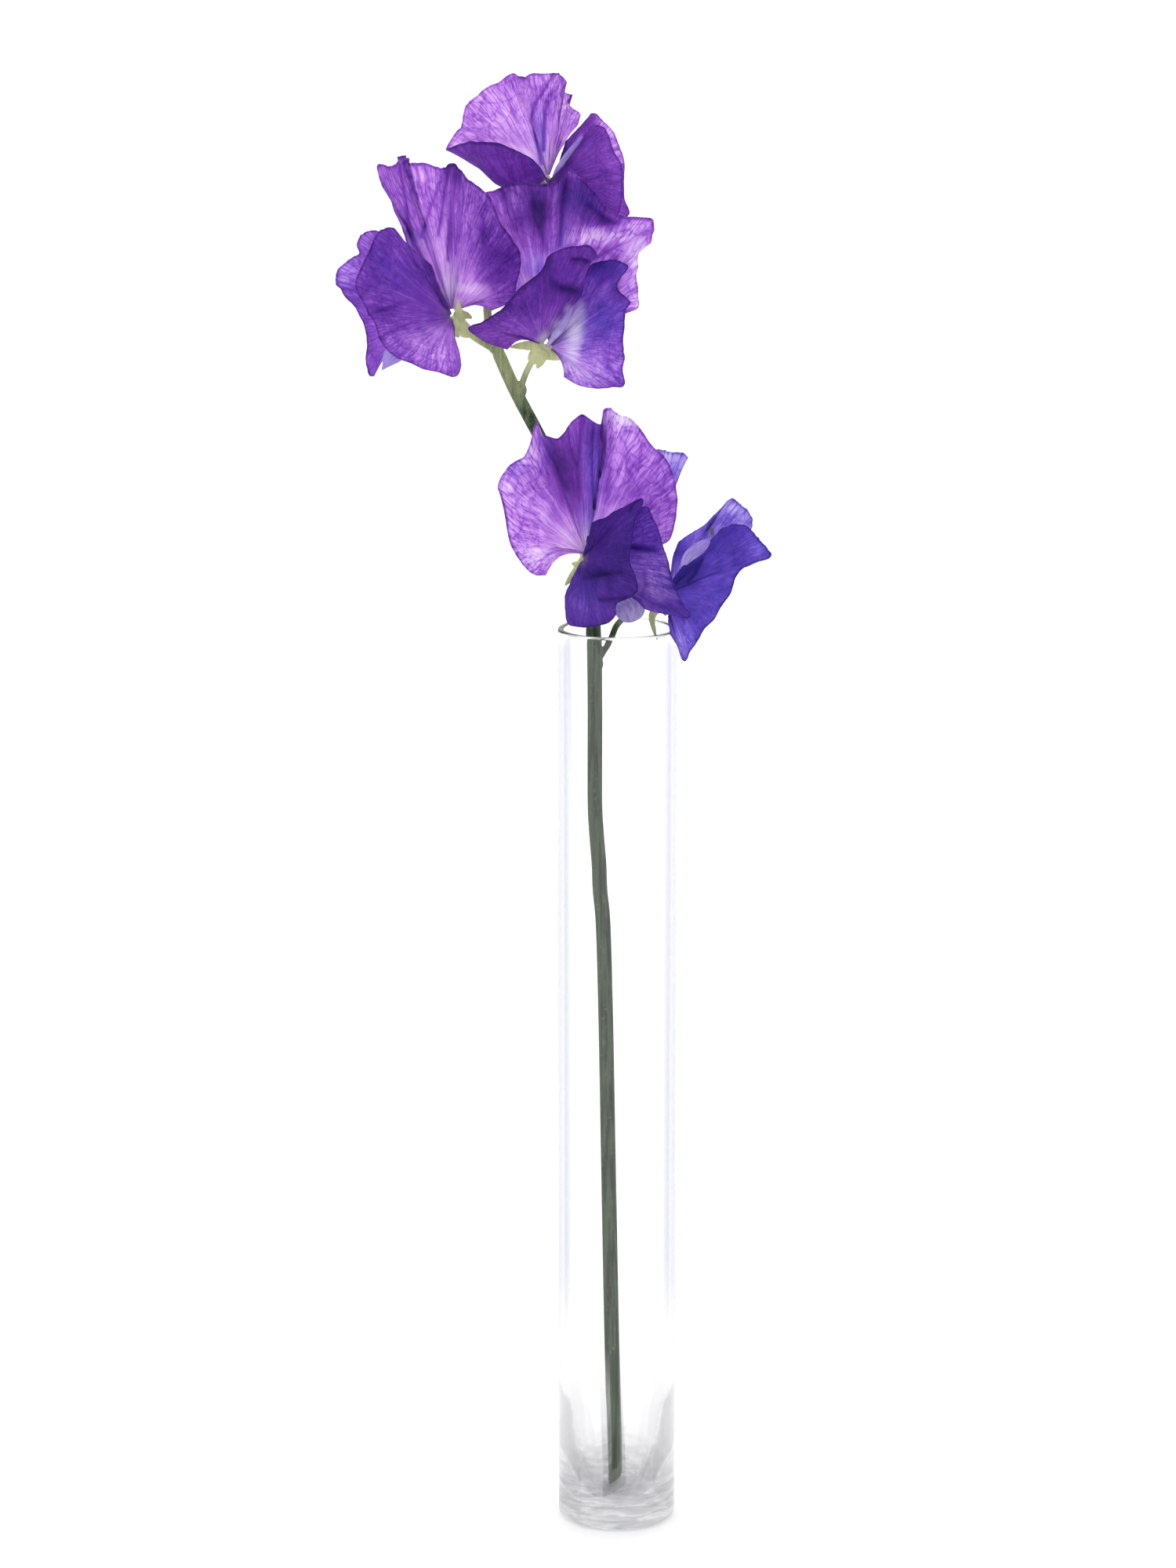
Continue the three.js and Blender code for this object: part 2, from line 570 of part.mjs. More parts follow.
const topBloom = {
  name: 'bloom_top',
  place: [-17, 22, 342.4],
  tilt: 5.3,
  calyx: {
    foot: [-2.8, 1.5, -4.5],
    mouth: [0, -0.3, -0.6],
    bannerSide: [-0.6, 0.6, 0.5],
    teeth: [[-4.4, 3.6, 0.6], [-0.6, 4.6, 2], [3.6, 3, -3], [2, -0.8, -5.4], [-3.6, -2, -3.4]],
  },
  petals: {
    banner: {
      crown: 0.8,
      waves: [6, 1.1],
      sweep: [1, 3, 5, 6, 4, 2, 0, -3, 0],
      margin: [
        [6.6, 0.2, 14.8, 2.6, 0.6, 8.2], [7.2, 0.4, 17.4, 2.6, 0.7, 9.2], [5.2, 1.4, 19, 2.4, 0.8, 9.8],
        [5.2, 2, 20.4], [5.6, 2, 21.9], [4.1, 2, 22.8], [4.5, 1.6, 25], [2.2, 1, 26.8], [0.8, 0, 27.2],
        [-2, 1, 27.2], [-4.7, 1.6, 27.6], [-6, 1, 26.4], [-8, 0, 26.2], [-9.5, 0.6, 27], [-12.8, 1, 25.1],
        [-16, 1.6, 23.7], [-18.8, 1.6, 21.2], [-21, 1.6, 19], [-21.9, 1.6, 16], [-22, 1, 14.2],
        [-24, 0.4, 12], [-26, -1.4, 7.8, -14, 0, 3.6], [-23.5, -4, 9, -13.6, -1.6, 1.2],
        [-20, -5.6, 10.2, -12.4, -2, -0.4], [-16.5, -6.4, 10.5, -10.6, -2.4, -1],
        [-11, -6.6, 9.4, -8, -2.6, -1],
      ],
    },
    wing_right: {
      crown: -1.6,
      waves: [3, 0.5],
      sweep: [-1, -3, -6, -2, 0],
      margin: [
        [10.5, -4.5, 13.6, 5.6, -3.8, 6.2], [12, -4.5, 14, 6.2, -4, 6.3], [14, -4.5, 13.2], [15.4, -5, 10],
        [16.6, -5, 7], [18, -5.2, 4.4], [18.4, -5.4, 0], [18.2, -5.4, -5], [16.6, -5, -9], [12, -4.4, -10],
        [6.4, -3.6, -7],
      ],
    },
    wing_left: {
      crown: -0.2,
      waves: [3, 0.5],
      sweep: [0, 2, 3, 2, 0],
      margin: [
        [2, 0, 5], [3, 0, 8], [4, 0, 10], [6, 0, 12.2], [8, 0, 14.2], [10, -0.4, 16], [11.4, -0.8, 16.9],
        [13, -1.2, 15.5], [15.5, -1.4, 13], [17, -1.6, 10.5], [18.3, -1.8, 7], [18.7, -2, 4.5],
        [18.6, -2, 0], [18.8, -2, -4], [20, -2, -8], [16, -1.4, -10.4], [10, -0.6, -9.4], [5, 0, -6],
      ],
    },
    keel: {
      path: [[2.6, -1.6, 2.8], [5.4, -2.2, 6.6], [7.6, -2.4, 9.4], [9.2, -2.4, 11.6]],
      radii: [[0.5, 0.5], [1.3, 0.6], [1.5, 0.6], [1.2, 0.6], [0.4, 0.4]],
    },
  },
};

const blooms = [lowLeftBloom, lowRightBloom, midLeftBloom, midRightBloom, topBloom];

// Frame of a bloom: at its place, leaned back about the X axis
function bloomMatrix(bloom) {
  const lean = new THREE.Euler(-THREE.MathUtils.degToRad(bloom.tilt), 0, 0);
  return new THREE.Matrix4().compose(
    vector(bloom.place),
    new THREE.Quaternion().setFromEuler(lean),
    new THREE.Vector3(1, 1, 1),
  );
}

function calyxFootPlace(bloom) {
  return vector(bloom.calyx.foot).applyMatrix4(bloomMatrix(bloom)).toArray();
}

// The flower stalks: where each leaves the stem, on the way to its calyx
const flowerStalks = [
  { bloom: lowLeftBloom, from: [[-6.3, 10.8, 237], [-6.9, 10, 242.4]] },
  {
    bloom: lowRightBloom,
    from: [[-5.9, 9.2, 221.6], [-3.8, 8.8, 225.2], [-1.7, 7.6, 228.8], [-0.1, 6, 232.8], [3.2, 3.2, 236.6]],
  },
  { bloom: midLeftBloom, from: [[-30.2, 15, 300.8], [-34.4, 14.6, 303.3]] },
  { bloom: midRightBloom, from: [[-24.6, 15, 290.4], [-23.1, 14, 295]] },
];

// Thickened joints: under the lower flower stalk, at the middle stalk and at the top
const stemJoints = [
  { place: [-5.6, 9.2, 222.4], radii: [2, 1.8, 2.2] },
  { place: [-24.7, 15, 291], radii: [2, 1.8, 2] },
  { place: [-30.3, 15, 301.4], radii: [1.9, 1.8, 1.5] },
];

function stem() {
  const main = rod(
    stalkPaths.main,
    stalkPaths.main.map(([, , z]) => (z < 230 ? stemRadius : stemTopRadius)),
    stemSides,
    stemSteps,
  );
  let solid = solidFrom(main).subtract(slantedFootCut());
  solid = solid.add(solidFrom(rod(stalkPaths.upper, upperRadii, stalkSides, 2 * stalkPaths.upper.length)));
  for (const { bloom, from } of flowerStalks) {
    const points = [...from, calyxFootPlace(bloom)];
    solid = solid.add(solidFrom(rod(points, points.map(() => stalkRadius), stalkSides, 2 * points.length)));
  }
  for (const { place, radii } of stemJoints) {
    const swelling = new THREE.SphereGeometry(1, 8, 6);
    swelling.scale(...radii);
    swelling.translate(...place);
    solid = solid.add(solidFrom(swelling));
  }
  for (const bloom of blooms) {
    solid = solid.add(calyxSolid(bloom).transform(Array.from(bloomMatrix(bloom).elements)));
  }
  return meshFrom('stem', largestBody(solid), materials.stem);
}

function bloomGroup(bloom) {
  const group = new THREE.Group();
  group.applyMatrix4(bloomMatrix(bloom));
  group.add(meshOf(`${bloom.name}_banner`, petalGeometry(bloom, 'banner'), materials.banner));
  group.add(meshOf(`${bloom.name}_wing_left`, petalGeometry(bloom, 'wing_left'), materials.wing));
  group.add(meshOf(`${bloom.name}_wing_right`, petalGeometry(bloom, 'wing_right'), materials.wing));
  group.add(meshOf(`${bloom.name}_keel`, keelGeometry(bloom), materials.keel));
  return group;
}

const flowerInVase = new THREE.Group();
flowerInVase.add(vase(), stem());
for (const bloom of blooms) {
  flowerInVase.add(bloomGroup(bloom));
}

export default flowerInVase;
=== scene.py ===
import math

import bmesh
import bpy
import numpy as np
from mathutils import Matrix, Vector, noise


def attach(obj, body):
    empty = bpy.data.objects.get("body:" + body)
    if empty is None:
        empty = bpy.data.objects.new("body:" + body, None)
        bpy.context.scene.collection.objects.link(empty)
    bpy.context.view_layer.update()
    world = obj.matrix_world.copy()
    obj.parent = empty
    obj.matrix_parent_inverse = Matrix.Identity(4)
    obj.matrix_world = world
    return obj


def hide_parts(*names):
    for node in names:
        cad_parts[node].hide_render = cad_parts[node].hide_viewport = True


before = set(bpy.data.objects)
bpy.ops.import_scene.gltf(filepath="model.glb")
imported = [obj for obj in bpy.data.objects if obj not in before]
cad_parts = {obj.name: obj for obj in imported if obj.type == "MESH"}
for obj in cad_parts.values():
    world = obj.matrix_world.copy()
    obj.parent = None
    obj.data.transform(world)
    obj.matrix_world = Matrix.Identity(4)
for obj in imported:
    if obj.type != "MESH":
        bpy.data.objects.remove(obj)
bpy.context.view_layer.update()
mm = 0.001


# Camera: the photograph's own view, a long lens looking a little down
cameraLook = {
    "place": (-7.4, -1250, 460), "lookAt": (-7.4, 0, 193.2), "lens": 116.5, "sensor": 36, "reach": 100,
}


def addCamera(settings):
    place = Vector(settings["place"]) * mm
    target = Vector(settings["lookAt"]) * mm
    bpy.ops.object.camera_add(location=place, rotation=(target - place).to_track_quat("-Z", "Y").to_euler())
    made = bpy.context.object
    made.name = "camera"
    made.data.lens = settings["lens"]
    made.data.sensor_width = settings["sensor"]
    made.data.sensor_fit = "AUTO"
    made.data.clip_end = settings["reach"]
    bpy.context.scene.camera = made


addCamera(cameraLook)
bpy.context.scene.view_settings.view_transform = "Standard"
print("camera placed")


# Shader values: an expression on them adds its Math nodes
class Value:
    def __init__(self, finish, socket):
        self.finish = finish
        self.socket = socket

    def math(self, operation, *others):
        made = self.finish.tree.nodes.new("ShaderNodeMath")
        made.operation = operation
        for place, value in enumerate((self,) + others):
            self.finish.feed(made.inputs[place], value)
        return Value(self.finish, made.outputs[0])

    def swapped(self, operation, other):
        made = self.finish.tree.nodes.new("ShaderNodeMath")
        made.operation = operation
        self.finish.feed(made.inputs[0], other)
        self.finish.feed(made.inputs[1], self)
        return Value(self.finish, made.outputs[0])

    def __add__(self, other):
        return self.math("ADD", other)

    def __radd__(self, other):
        return self.swapped("ADD", other)

    def __sub__(self, other):
        return self.math("SUBTRACT", other)

    def __rsub__(self, other):
        return self.swapped("SUBTRACT", other)

    def __mul__(self, other):
        return self.math("MULTIPLY", other)

    def __rmul__(self, other):
        return self.swapped("MULTIPLY", other)

    def held(self):
        return self.math("MAXIMUM", 0).math("MINIMUM", 1)


# A material in the making
class Finish:
    def __init__(self, name):
        self.material = bpy.data.materials.new(name)
        self.material.use_nodes = True
        self.tree = self.material.node_tree
        self.tree.nodes.clear()

    def feed(self, socket, value):
        if isinstance(value, Value):
            self.tree.links.new(value.socket, socket)
        else:
            socket.default_value = value

    def node(self, kind, settings, inputs, output=0):
        made = self.tree.nodes.new(kind)
        for key, value in settings.items():
            setattr(made, key, value)
        for key, value in inputs.items():
            self.feed(made.inputs[key], value)
        return Value(self, made.outputs[output])

    def colourMix(self, factor, first, second):
        settings = {"data_type": "RGBA", "blend_type": "MIX"}
        return self.node("ShaderNodeMix", settings, {0: factor, 6: first, 7: second}, 2)

    def shaderMix(self, factor, first, second):
        return self.node("ShaderNodeMixShader", {}, {0: factor, 1: first, 2: second})

    def ramp(self, value, low, high):
        # 0 below low, 1 above high, and smooth between
        inputs = {"Value": value, "From Min": low, "From Max": high}
        return self.node("ShaderNodeMapRange", {"interpolation_type": "SMOOTHSTEP"}, inputs)

    def noise(self, vector, scale, detail=2, roughness=0.5, distortion=0):
        inputs = {"Vector": vector, "Scale": scale, "Detail": detail, "Roughness": roughness,
                  "Distortion": distortion}
        return self.node("ShaderNodeTexNoise", {}, inputs)

    def objectPlace(self):
        return self.node("ShaderNodeTexCoord", {}, {}, "Object")

    def stretched(self, vector, scale):
        return self.node("ShaderNodeMapping", {}, {"Vector": vector, "Scale": scale})

    def combine(self, x, y, z):
        return self.node("ShaderNodeCombineXYZ", {}, {"X": x, "Y": y, "Z": z})

    def split(self, vector, output):
        return self.node("ShaderNodeSeparateXYZ", {}, {"Vector": vector}, output)

    def attribute(self, name):
        return self.node("ShaderNodeAttribute", {"attribute_name": name}, {}, "Fac")

    def bump(self, strength, distance, height):
        inputs = {"Strength": strength, "Distance": distance, "Height": height}
        return self.node("ShaderNodeBump", {}, inputs)

    def ridge(self, value, sharpness):
        # 1 where a noise passes through its middle, falling off to both sides
        return 1 - ((value * 2 - 1).math("ABSOLUTE") * sharpness).held()

    def principled(self, inputs):
        return self.node("ShaderNodeBsdfPrincipled", {}, inputs)

    def glow(self, tint, bump=None):
        # Light that comes through a thin sheet
        inputs = {"Color": (*tint, 1)}
        if bump:
            inputs["Normal"] = bump
        return self.node("ShaderNodeBsdfTranslucent", {}, inputs)

    def finishWith(self, shader, inside=None):
        output = self.tree.nodes.new("ShaderNodeOutputMaterial")
        self.tree.links.new(shader.socket, output.inputs["Surface"])
        if inside:
            self.tree.links.new(inside.socket, output.inputs["Volume"])
        return self.material


def colour(red, green, blue):
    # A screen colour, 0 to 255, as the light value that shaders take
    linear = [((c / 255 + 0.055) / 1.055) ** 2.4 if c > 10 else c / 255 / 12.92 for c in (red, green, blue)]
    return (*linear, 1)


# Making and finishing pieces
def deselectAll():
    bpy.ops.object.select_all(action="DESELECT")


def finishPiece(piece, node, material):
    deselectAll()
    piece.select_set(True)
    bpy.context.view_layer.objects.active = piece
    bpy.ops.object.transform_apply(location=True, rotation=True, scale=True)
    piece.data.materials.clear()
    piece.data.materials.append(material)
    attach(piece, "root")
    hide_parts(node)


def applyModifier(piece, kind, settings):
    added = piece.modifiers.new(kind.lower(), kind)
    for key, value in settings.items():
        setattr(added, key, value)
    bpy.context.view_layer.objects.active = piece
    bpy.ops.object.modifier_apply(modifier=added.name)


def setAttribute(piece, name, values):
    layer = piece.data.attributes.new(name, "FLOAT", "POINT")
    layer.data.foreach_set("value", np.asarray(values, np.float32))


def vertexPlaces(piece):
    places = np.empty(len(piece.data.vertices) * 3)
    piece.data.vertices.foreach_get("co", places)
    return places.reshape(-1, 3)


def moveVertices(piece, places):
    piece.data.vertices.foreach_set("co", np.asarray(places, float).ravel())
    piece.data.update()


# Curves and tubes
def throughPoints(points, share):
    # A smooth curve through all the points, read at shares 0 to 1 of its stretches
    points = np.asarray(points, float)
    padded = np.vstack([2 * points[0] - points[1], points, 2 * points[-1] - points[-2]])
    place = np.asarray(share, float) * (len(points) - 1)
    first = np.clip(np.floor(place).astype(int), 0, len(points) - 2)
    part = (place - first)[..., None]
    before, start, end, after = (padded[first + k] for k in range(4))
    leaving = (end - before) / 2 * (part ** 3 - 2 * part ** 2 + part)
    arriving = (after - start) / 2 * (part ** 3 - part ** 2)
    between = start * (2 * part ** 3 - 3 * part ** 2 + 1) + end * (3 * part ** 2 - 2 * part ** 3)
    return between + (leaving + arriving)


def normalised(vectors):
    return vectors / np.maximum(np.linalg.norm(vectors, axis=-1, keepdims=True), 1e-12)


def tubeAlong(name, points, radii, sides, rings, tipShare=0.01):
    # A ball whose rings are moved along a path: a closed tube. A radius may be a pair, across and deep.
    # The tube's far end is rounded off over its last tipShare.
    deselectAll()
    bpy.ops.mesh.primitive_uv_sphere_add(segments=sides, ring_count=rings, radius=1, calc_uvs=True)
    piece = bpy.context.object
    piece.name = name
    ball = vertexPlaces(piece)
    share = np.arccos(np.clip(-ball[:, 2], -1, 1)) / math.pi
    angle = np.arctan2(ball[:, 1], ball[:, 0])
    spread = np.where(np.abs(ball[:, 2]) > 0.99999, 0, 1)  # 0 at the two poles
    pairs = [r if isinstance(r, (list, tuple)) else (r, r) for r in radii]
    tip = np.clip((share - 1 + tipShare) / tipShare, 0, 1)
    radius = throughPoints(pairs, share) * (spread * np.sqrt(1 - tip ** 2))[:, None]
    step = 0.002
    ahead = throughPoints(points, np.clip(share + step, 0, 1))
    along = normalised(ahead - throughPoints(points, np.clip(share - step, 0, 1)))
    reach = normalised(np.array(points[-1], float) - np.array(points[0], float))
    side = [0, 0, 1] if abs(reach[1]) > 0.7 else [0, 1, 0]  # a direction that the path never runs in
    across = normalised(np.cross(side, along))
    deep = np.cross(along, across)
    places = throughPoints(points, share)
    places = places + across * (radius[:, :1] * np.cos(angle)[:, None])
    places = places + deep * (radius[:, 1:] * np.sin(angle)[:, None])
    moveVertices(piece, places * mm)
    return piece


# Floor: a plain pale sheet that fills the view and glows weakly, as a light table does
floorLook = {
    "size": 40, "level": -0.0002, "tint": (214, 214, 215), "grainTint": (212, 212, 213), "grain": 900,
    "roughness": 0.9, "glow": 0.3,
}


def floorMaterial(settings):
    finish = Finish("pale_floor")
    grain = finish.noise(finish.objectPlace(), settings["grain"])
    tint = finish.colourMix(grain, colour(*settings["tint"]), colour(*settings["grainTint"]))
    inputs = {"Base Color": tint, "Roughness": settings["roughness"], "Emission Color": (1, 1, 1, 1),
              "Emission Strength": settings["glow"]}
    return finish.finishWith(finish.principled(inputs))


def addFloor(settings):
    deselectAll()
    bpy.ops.mesh.primitive_plane_add(size=settings["size"], location=(0, 0, settings["level"]))
    made = bpy.context.object
    made.name = "floor"
    made.data.materials.append(floorMaterial(settings))


addFloor(floorLook)


# Light: a soft white room, a large soft lamp behind and above, a gentle one from the left front
lightLook = {
    "room": 1.28,
    "brightSide": (0, 0.8, 0.6),  # behind and above, and the room is darker in front
    "nearSide": 0.44, "darkest": -0.7, "lightest": 0.5,
    "lamps": [
        {"name": "back_lamp", "place": (0.1, 1, 1.15), "aim": (-0.01, 0, 0.3), "size": 1.6, "power": 7},
        {"name": "front_lamp", "place": (-1.1, -1.2, 1.3), "aim": (-0.01, 0, 0.28), "size": 1, "power": 6},
    ],
}


def addRoom(settings):
    world = bpy.data.worlds.new("white_room")
    bpy.context.scene.world = world
    world.use_nodes = True
    nodes = world.node_tree.nodes
    links = world.node_tree.links
    direction = nodes.new("ShaderNodeTexCoord")
    lean = nodes.new("ShaderNodeVectorMath")
    lean.operation = "DOT_PRODUCT"
    lean.inputs[1].default_value = settings["brightSide"]
    links.new(direction.outputs["Generated"], lean.inputs[0])
    side = nodes.new("ShaderNodeMapRange")
    side.interpolation_type = "SMOOTHSTEP"
    side.inputs["From Min"].default_value = settings["darkest"]
    side.inputs["From Max"].default_value = settings["lightest"]
    side.inputs["To Min"].default_value = settings["nearSide"]
    links.new(lean.outputs["Value"], side.inputs["Value"])
    strength = nodes.new("ShaderNodeMath")
    strength.operation = "MULTIPLY"
    strength.inputs[1].default_value = settings["room"]
    links.new(side.outputs[0], strength.inputs[0])
    background = nodes["Background"]
    background.inputs["Color"].default_value = (1, 1, 1, 1)
    links.new(strength.outputs[0], background.inputs["Strength"])


def addLamp(lamp):
    place = Vector(lamp["place"])
    turn = (Vector(lamp["aim"]) - place).to_track_quat("-Z", "Y").to_euler()
    bpy.ops.object.light_add(type="AREA", location=place, rotation=turn)
    made = bpy.context.object
    made.name = lamp["name"]
    made.data.size = lamp["size"]
    made.data.energy = lamp["power"]
    made.visible_transmission = False  # no lamp shows through the glass


addRoom(lightLook)
for lamp in lightLook["lamps"]:
    addLamp(lamp)
print("floor and light placed")


# Vase: straight clear wall, fire-rounded rim, thick foot with a bowl-shaped floor inside, in millimetres
vaseLook = {
    "radius": 15, "height": 233.3, "wall": 1.5, "floor": 5.1, "bowl": 31.6, "bowlSteps": 20, "foot": 1.6,
    "footSteps": 6, "rimShare": 0.46, "rimSteps": 5, "sides": 160, "smoothAngle": 50,
    "wallCuts": (3, 231.3),  # rings that keep the long wall's shading straight
}
# Each zone is the two heights, in metres, between which a look comes or goes
glassLook = {
    # The two darker tints are painted shade: one greys the wall where it is seen edge-on, the other lays
    # grey bands into the thick foot
    "clear": (0.985, 0.985, 0.99, 1), "wallEdgeShade": (0.5, 0.52, 0.62, 1), "footShade": (0.4, 0.4, 0.42, 1),
    "ior": 1.46, "roughness": 0.03, "inside": (0.64, 0.64, 0.66, 1), "density": 26,
    "ripple": 0.12, "footRipple": 0.3, "bump": 0.35, "bumpHeight": 0.0008,
    "longScale": (60, 60, 9), "bandScale": (70, 70, 420), "grazing": (0.3, 0.75), "footShadeRange": (0.34, 0.6),
    "frostScale": 220, "frostRange": (0.35, 0.8), "footShadeScale": 1.4,
    "footZone": (0.012, 0.034), "wallZone": (0.034, 0.07), "wallEndZone": (0.229, 0.231),
    "footShadeZone": (0.009, 0.018), "openZone": (0.034, 0.05), "rimZone": (0.2325, 0.233),
    "footOpen": 0.28, "rimOpen": 0.4,  # shares of the light that go straight through
}


def glassMaterial(settings):
    finish = Finish("clear_glass")
    place = finish.objectPlace()
    height = finish.split(place, "Z")

    def above(zone):
        return finish.ramp(height, *settings[zone])

    bands = finish.stretched(place, settings["bandScale"])
    ripple = finish.noise(finish.stretched(place, settings["longScale"]), 1) * settings["ripple"]
    footRipple = finish.noise(bands, 1, 1, 0.5, 0.4) * (1 - above("footZone")) * settings["footRipple"]
    bump = finish.bump(settings["bump"], settings["bumpHeight"], ripple + footRipple)
    frost = finish.noise(place, settings["frostScale"], 3)
    rough = finish.ramp(frost, *settings["frostRange"]) * settings["roughness"]
    # Painted shade: the wall turns grey where it is seen edge-on, standing in for the dark lines that
    # refraction and reflection show at its sides
    facing = finish.node("ShaderNodeLayerWeight", {}, {"Blend": 0.5}, "Facing")
    wallEdgeShade = finish.ramp(facing, *settings["grazing"]) * (above("wallZone") * (1 - above("wallEndZone")))
    tint = finish.colourMix(wallEdgeShade, settings["clear"], settings["wallEdgeShade"])
    # Painted shade: grey bands low in the glass, fading out between 9 and 18 mm up, standing in for the
    # darker streaks that the solid foot refracts
    footShading = finish.noise(bands, settings["footShadeScale"], 3, 0.6, 0.8)
    footShading = finish.ramp(footShading, *settings["footShadeRange"])
    tint = finish.colourMix(footShading * (1 - above("footShadeZone")), tint, settings["footShade"])
    seeThrough = (1 - above("openZone")) * settings["footOpen"] + above("rimZone") * settings["rimOpen"]
    inputs = {"Base Color": tint, "Roughness": rough, "IOR": settings["ior"], "Transmission Weight": 1,
              "Normal": bump, "Alpha": 1 - seeThrough}
    absorption = {"Color": settings["inside"], "Density": settings["density"]}
    inside = finish.node("ShaderNodeVolumeAbsorption", {}, absorption)
    return finish.finishWith(finish.principled(inputs), inside)


def selectFaces(piece, wanted):
    # In edit mode: selects the faces for which wanted(face) holds
    bpy.ops.mesh.select_all(action="DESELECT")
    shape = bmesh.from_edit_mesh(piece.data)
    for face in shape.faces:
        face.select_set(bool(wanted(face)))
    bmesh.update_edit_mesh(piece.data)


def selectEdges(piece, wanted):
    bpy.ops.mesh.select_all(action="DESELECT")
    shape = bmesh.from_edit_mesh(piece.data)
    for edge in shape.edges:
        edge.select_set(bool(wanted(edge)))
    bmesh.update_edit_mesh(piece.data)


def isRound(edge):
    # True for an edge that runs around the vase's axis
    reaches = [v.co.xy.length for v in edge.verts]
    return abs(reaches[0] - reaches[1]) < 1e-6


def lift(distance):
    # Extrudes what is selected straight up, or down if negative
    bpy.ops.mesh.extrude_region_move(TRANSFORM_OT_translate={"value": (0, 0, distance)})


def hollowOut(settings):
    # From the selected top face, sinks the straight inside and then the bowl's narrowing rings
    wall, floor, bowl, height = (settings[key] * mm for key in ("wall", "floor", "bowl", "height"))
    inner = settings["radius"] * mm - wall
    bpy.ops.mesh.inset(thickness=wall, depth=0)
    lift(floor + bowl - height)
    level, reach = floor + bowl, inner
    for i in range(1, settings["bowlSteps"]):
        share = 1 - i / settings["bowlSteps"]
        nextLevel = floor + bowl * share ** 3
        nextReach = inner * share
        lift(nextLevel - level)
        size = nextReach / reach
        bpy.ops.transform.resize(value=(size, size, 1), center_override=(0, 0, nextLevel))
        level, reach = nextLevel, nextReach


def makeVase(settings):
    height = settings["height"] * mm
    deselectAll()
    bpy.ops.mesh.primitive_cylinder_add(vertices=settings["sides"], radius=settings["radius"] * mm,
                                        depth=height, location=(0, 0, height / 2))
    piece = bpy.context.object
    piece.name = "vase_glass"
    bpy.ops.object.transform_apply(location=True, rotation=True, scale=True)
    bpy.ops.object.mode_set(mode="EDIT")
    bpy.ops.mesh.select_mode(type="FACE")
    selectFaces(piece, lambda face: face.normal.z > 0.9)
    hollowOut(settings)
    for cut in settings["wallCuts"]:
        bpy.ops.mesh.select_all(action="SELECT")
        bpy.ops.mesh.bisect(plane_co=(0, 0, cut * mm), plane_no=(0, 0, 1))
    bpy.ops.mesh.select_mode(type="EDGE")
    selectEdges(piece, lambda edge: min(v.co.z for v in edge.verts) > height - 1e-5 and isRound(edge))
    rim = settings["wall"] * mm * settings["rimShare"]
    bpy.ops.mesh.bevel(offset=rim, segments=settings["rimSteps"], profile=0.5)
    selectEdges(piece, lambda edge: max(v.co.z for v in edge.verts) < 1e-6)
    bpy.ops.mesh.bevel(offset=settings["foot"] * mm, segments=settings["footSteps"], profile=0.5)
    bpy.ops.mesh.select_all(action="SELECT")
    bpy.ops.mesh.normals_make_consistent(inside=False)
    bpy.ops.object.mode_set(mode="OBJECT")
    bpy.ops.object.shade_smooth_by_angle(angle=math.radians(settings["smoothAngle"]))
    applyModifier(piece, "WEIGHTED_NORMAL", {"keep_sharp": True})
    finishPiece(piece, "vase", glassMaterial(glassLook))


makeVase(vaseLook)
print("vase made")


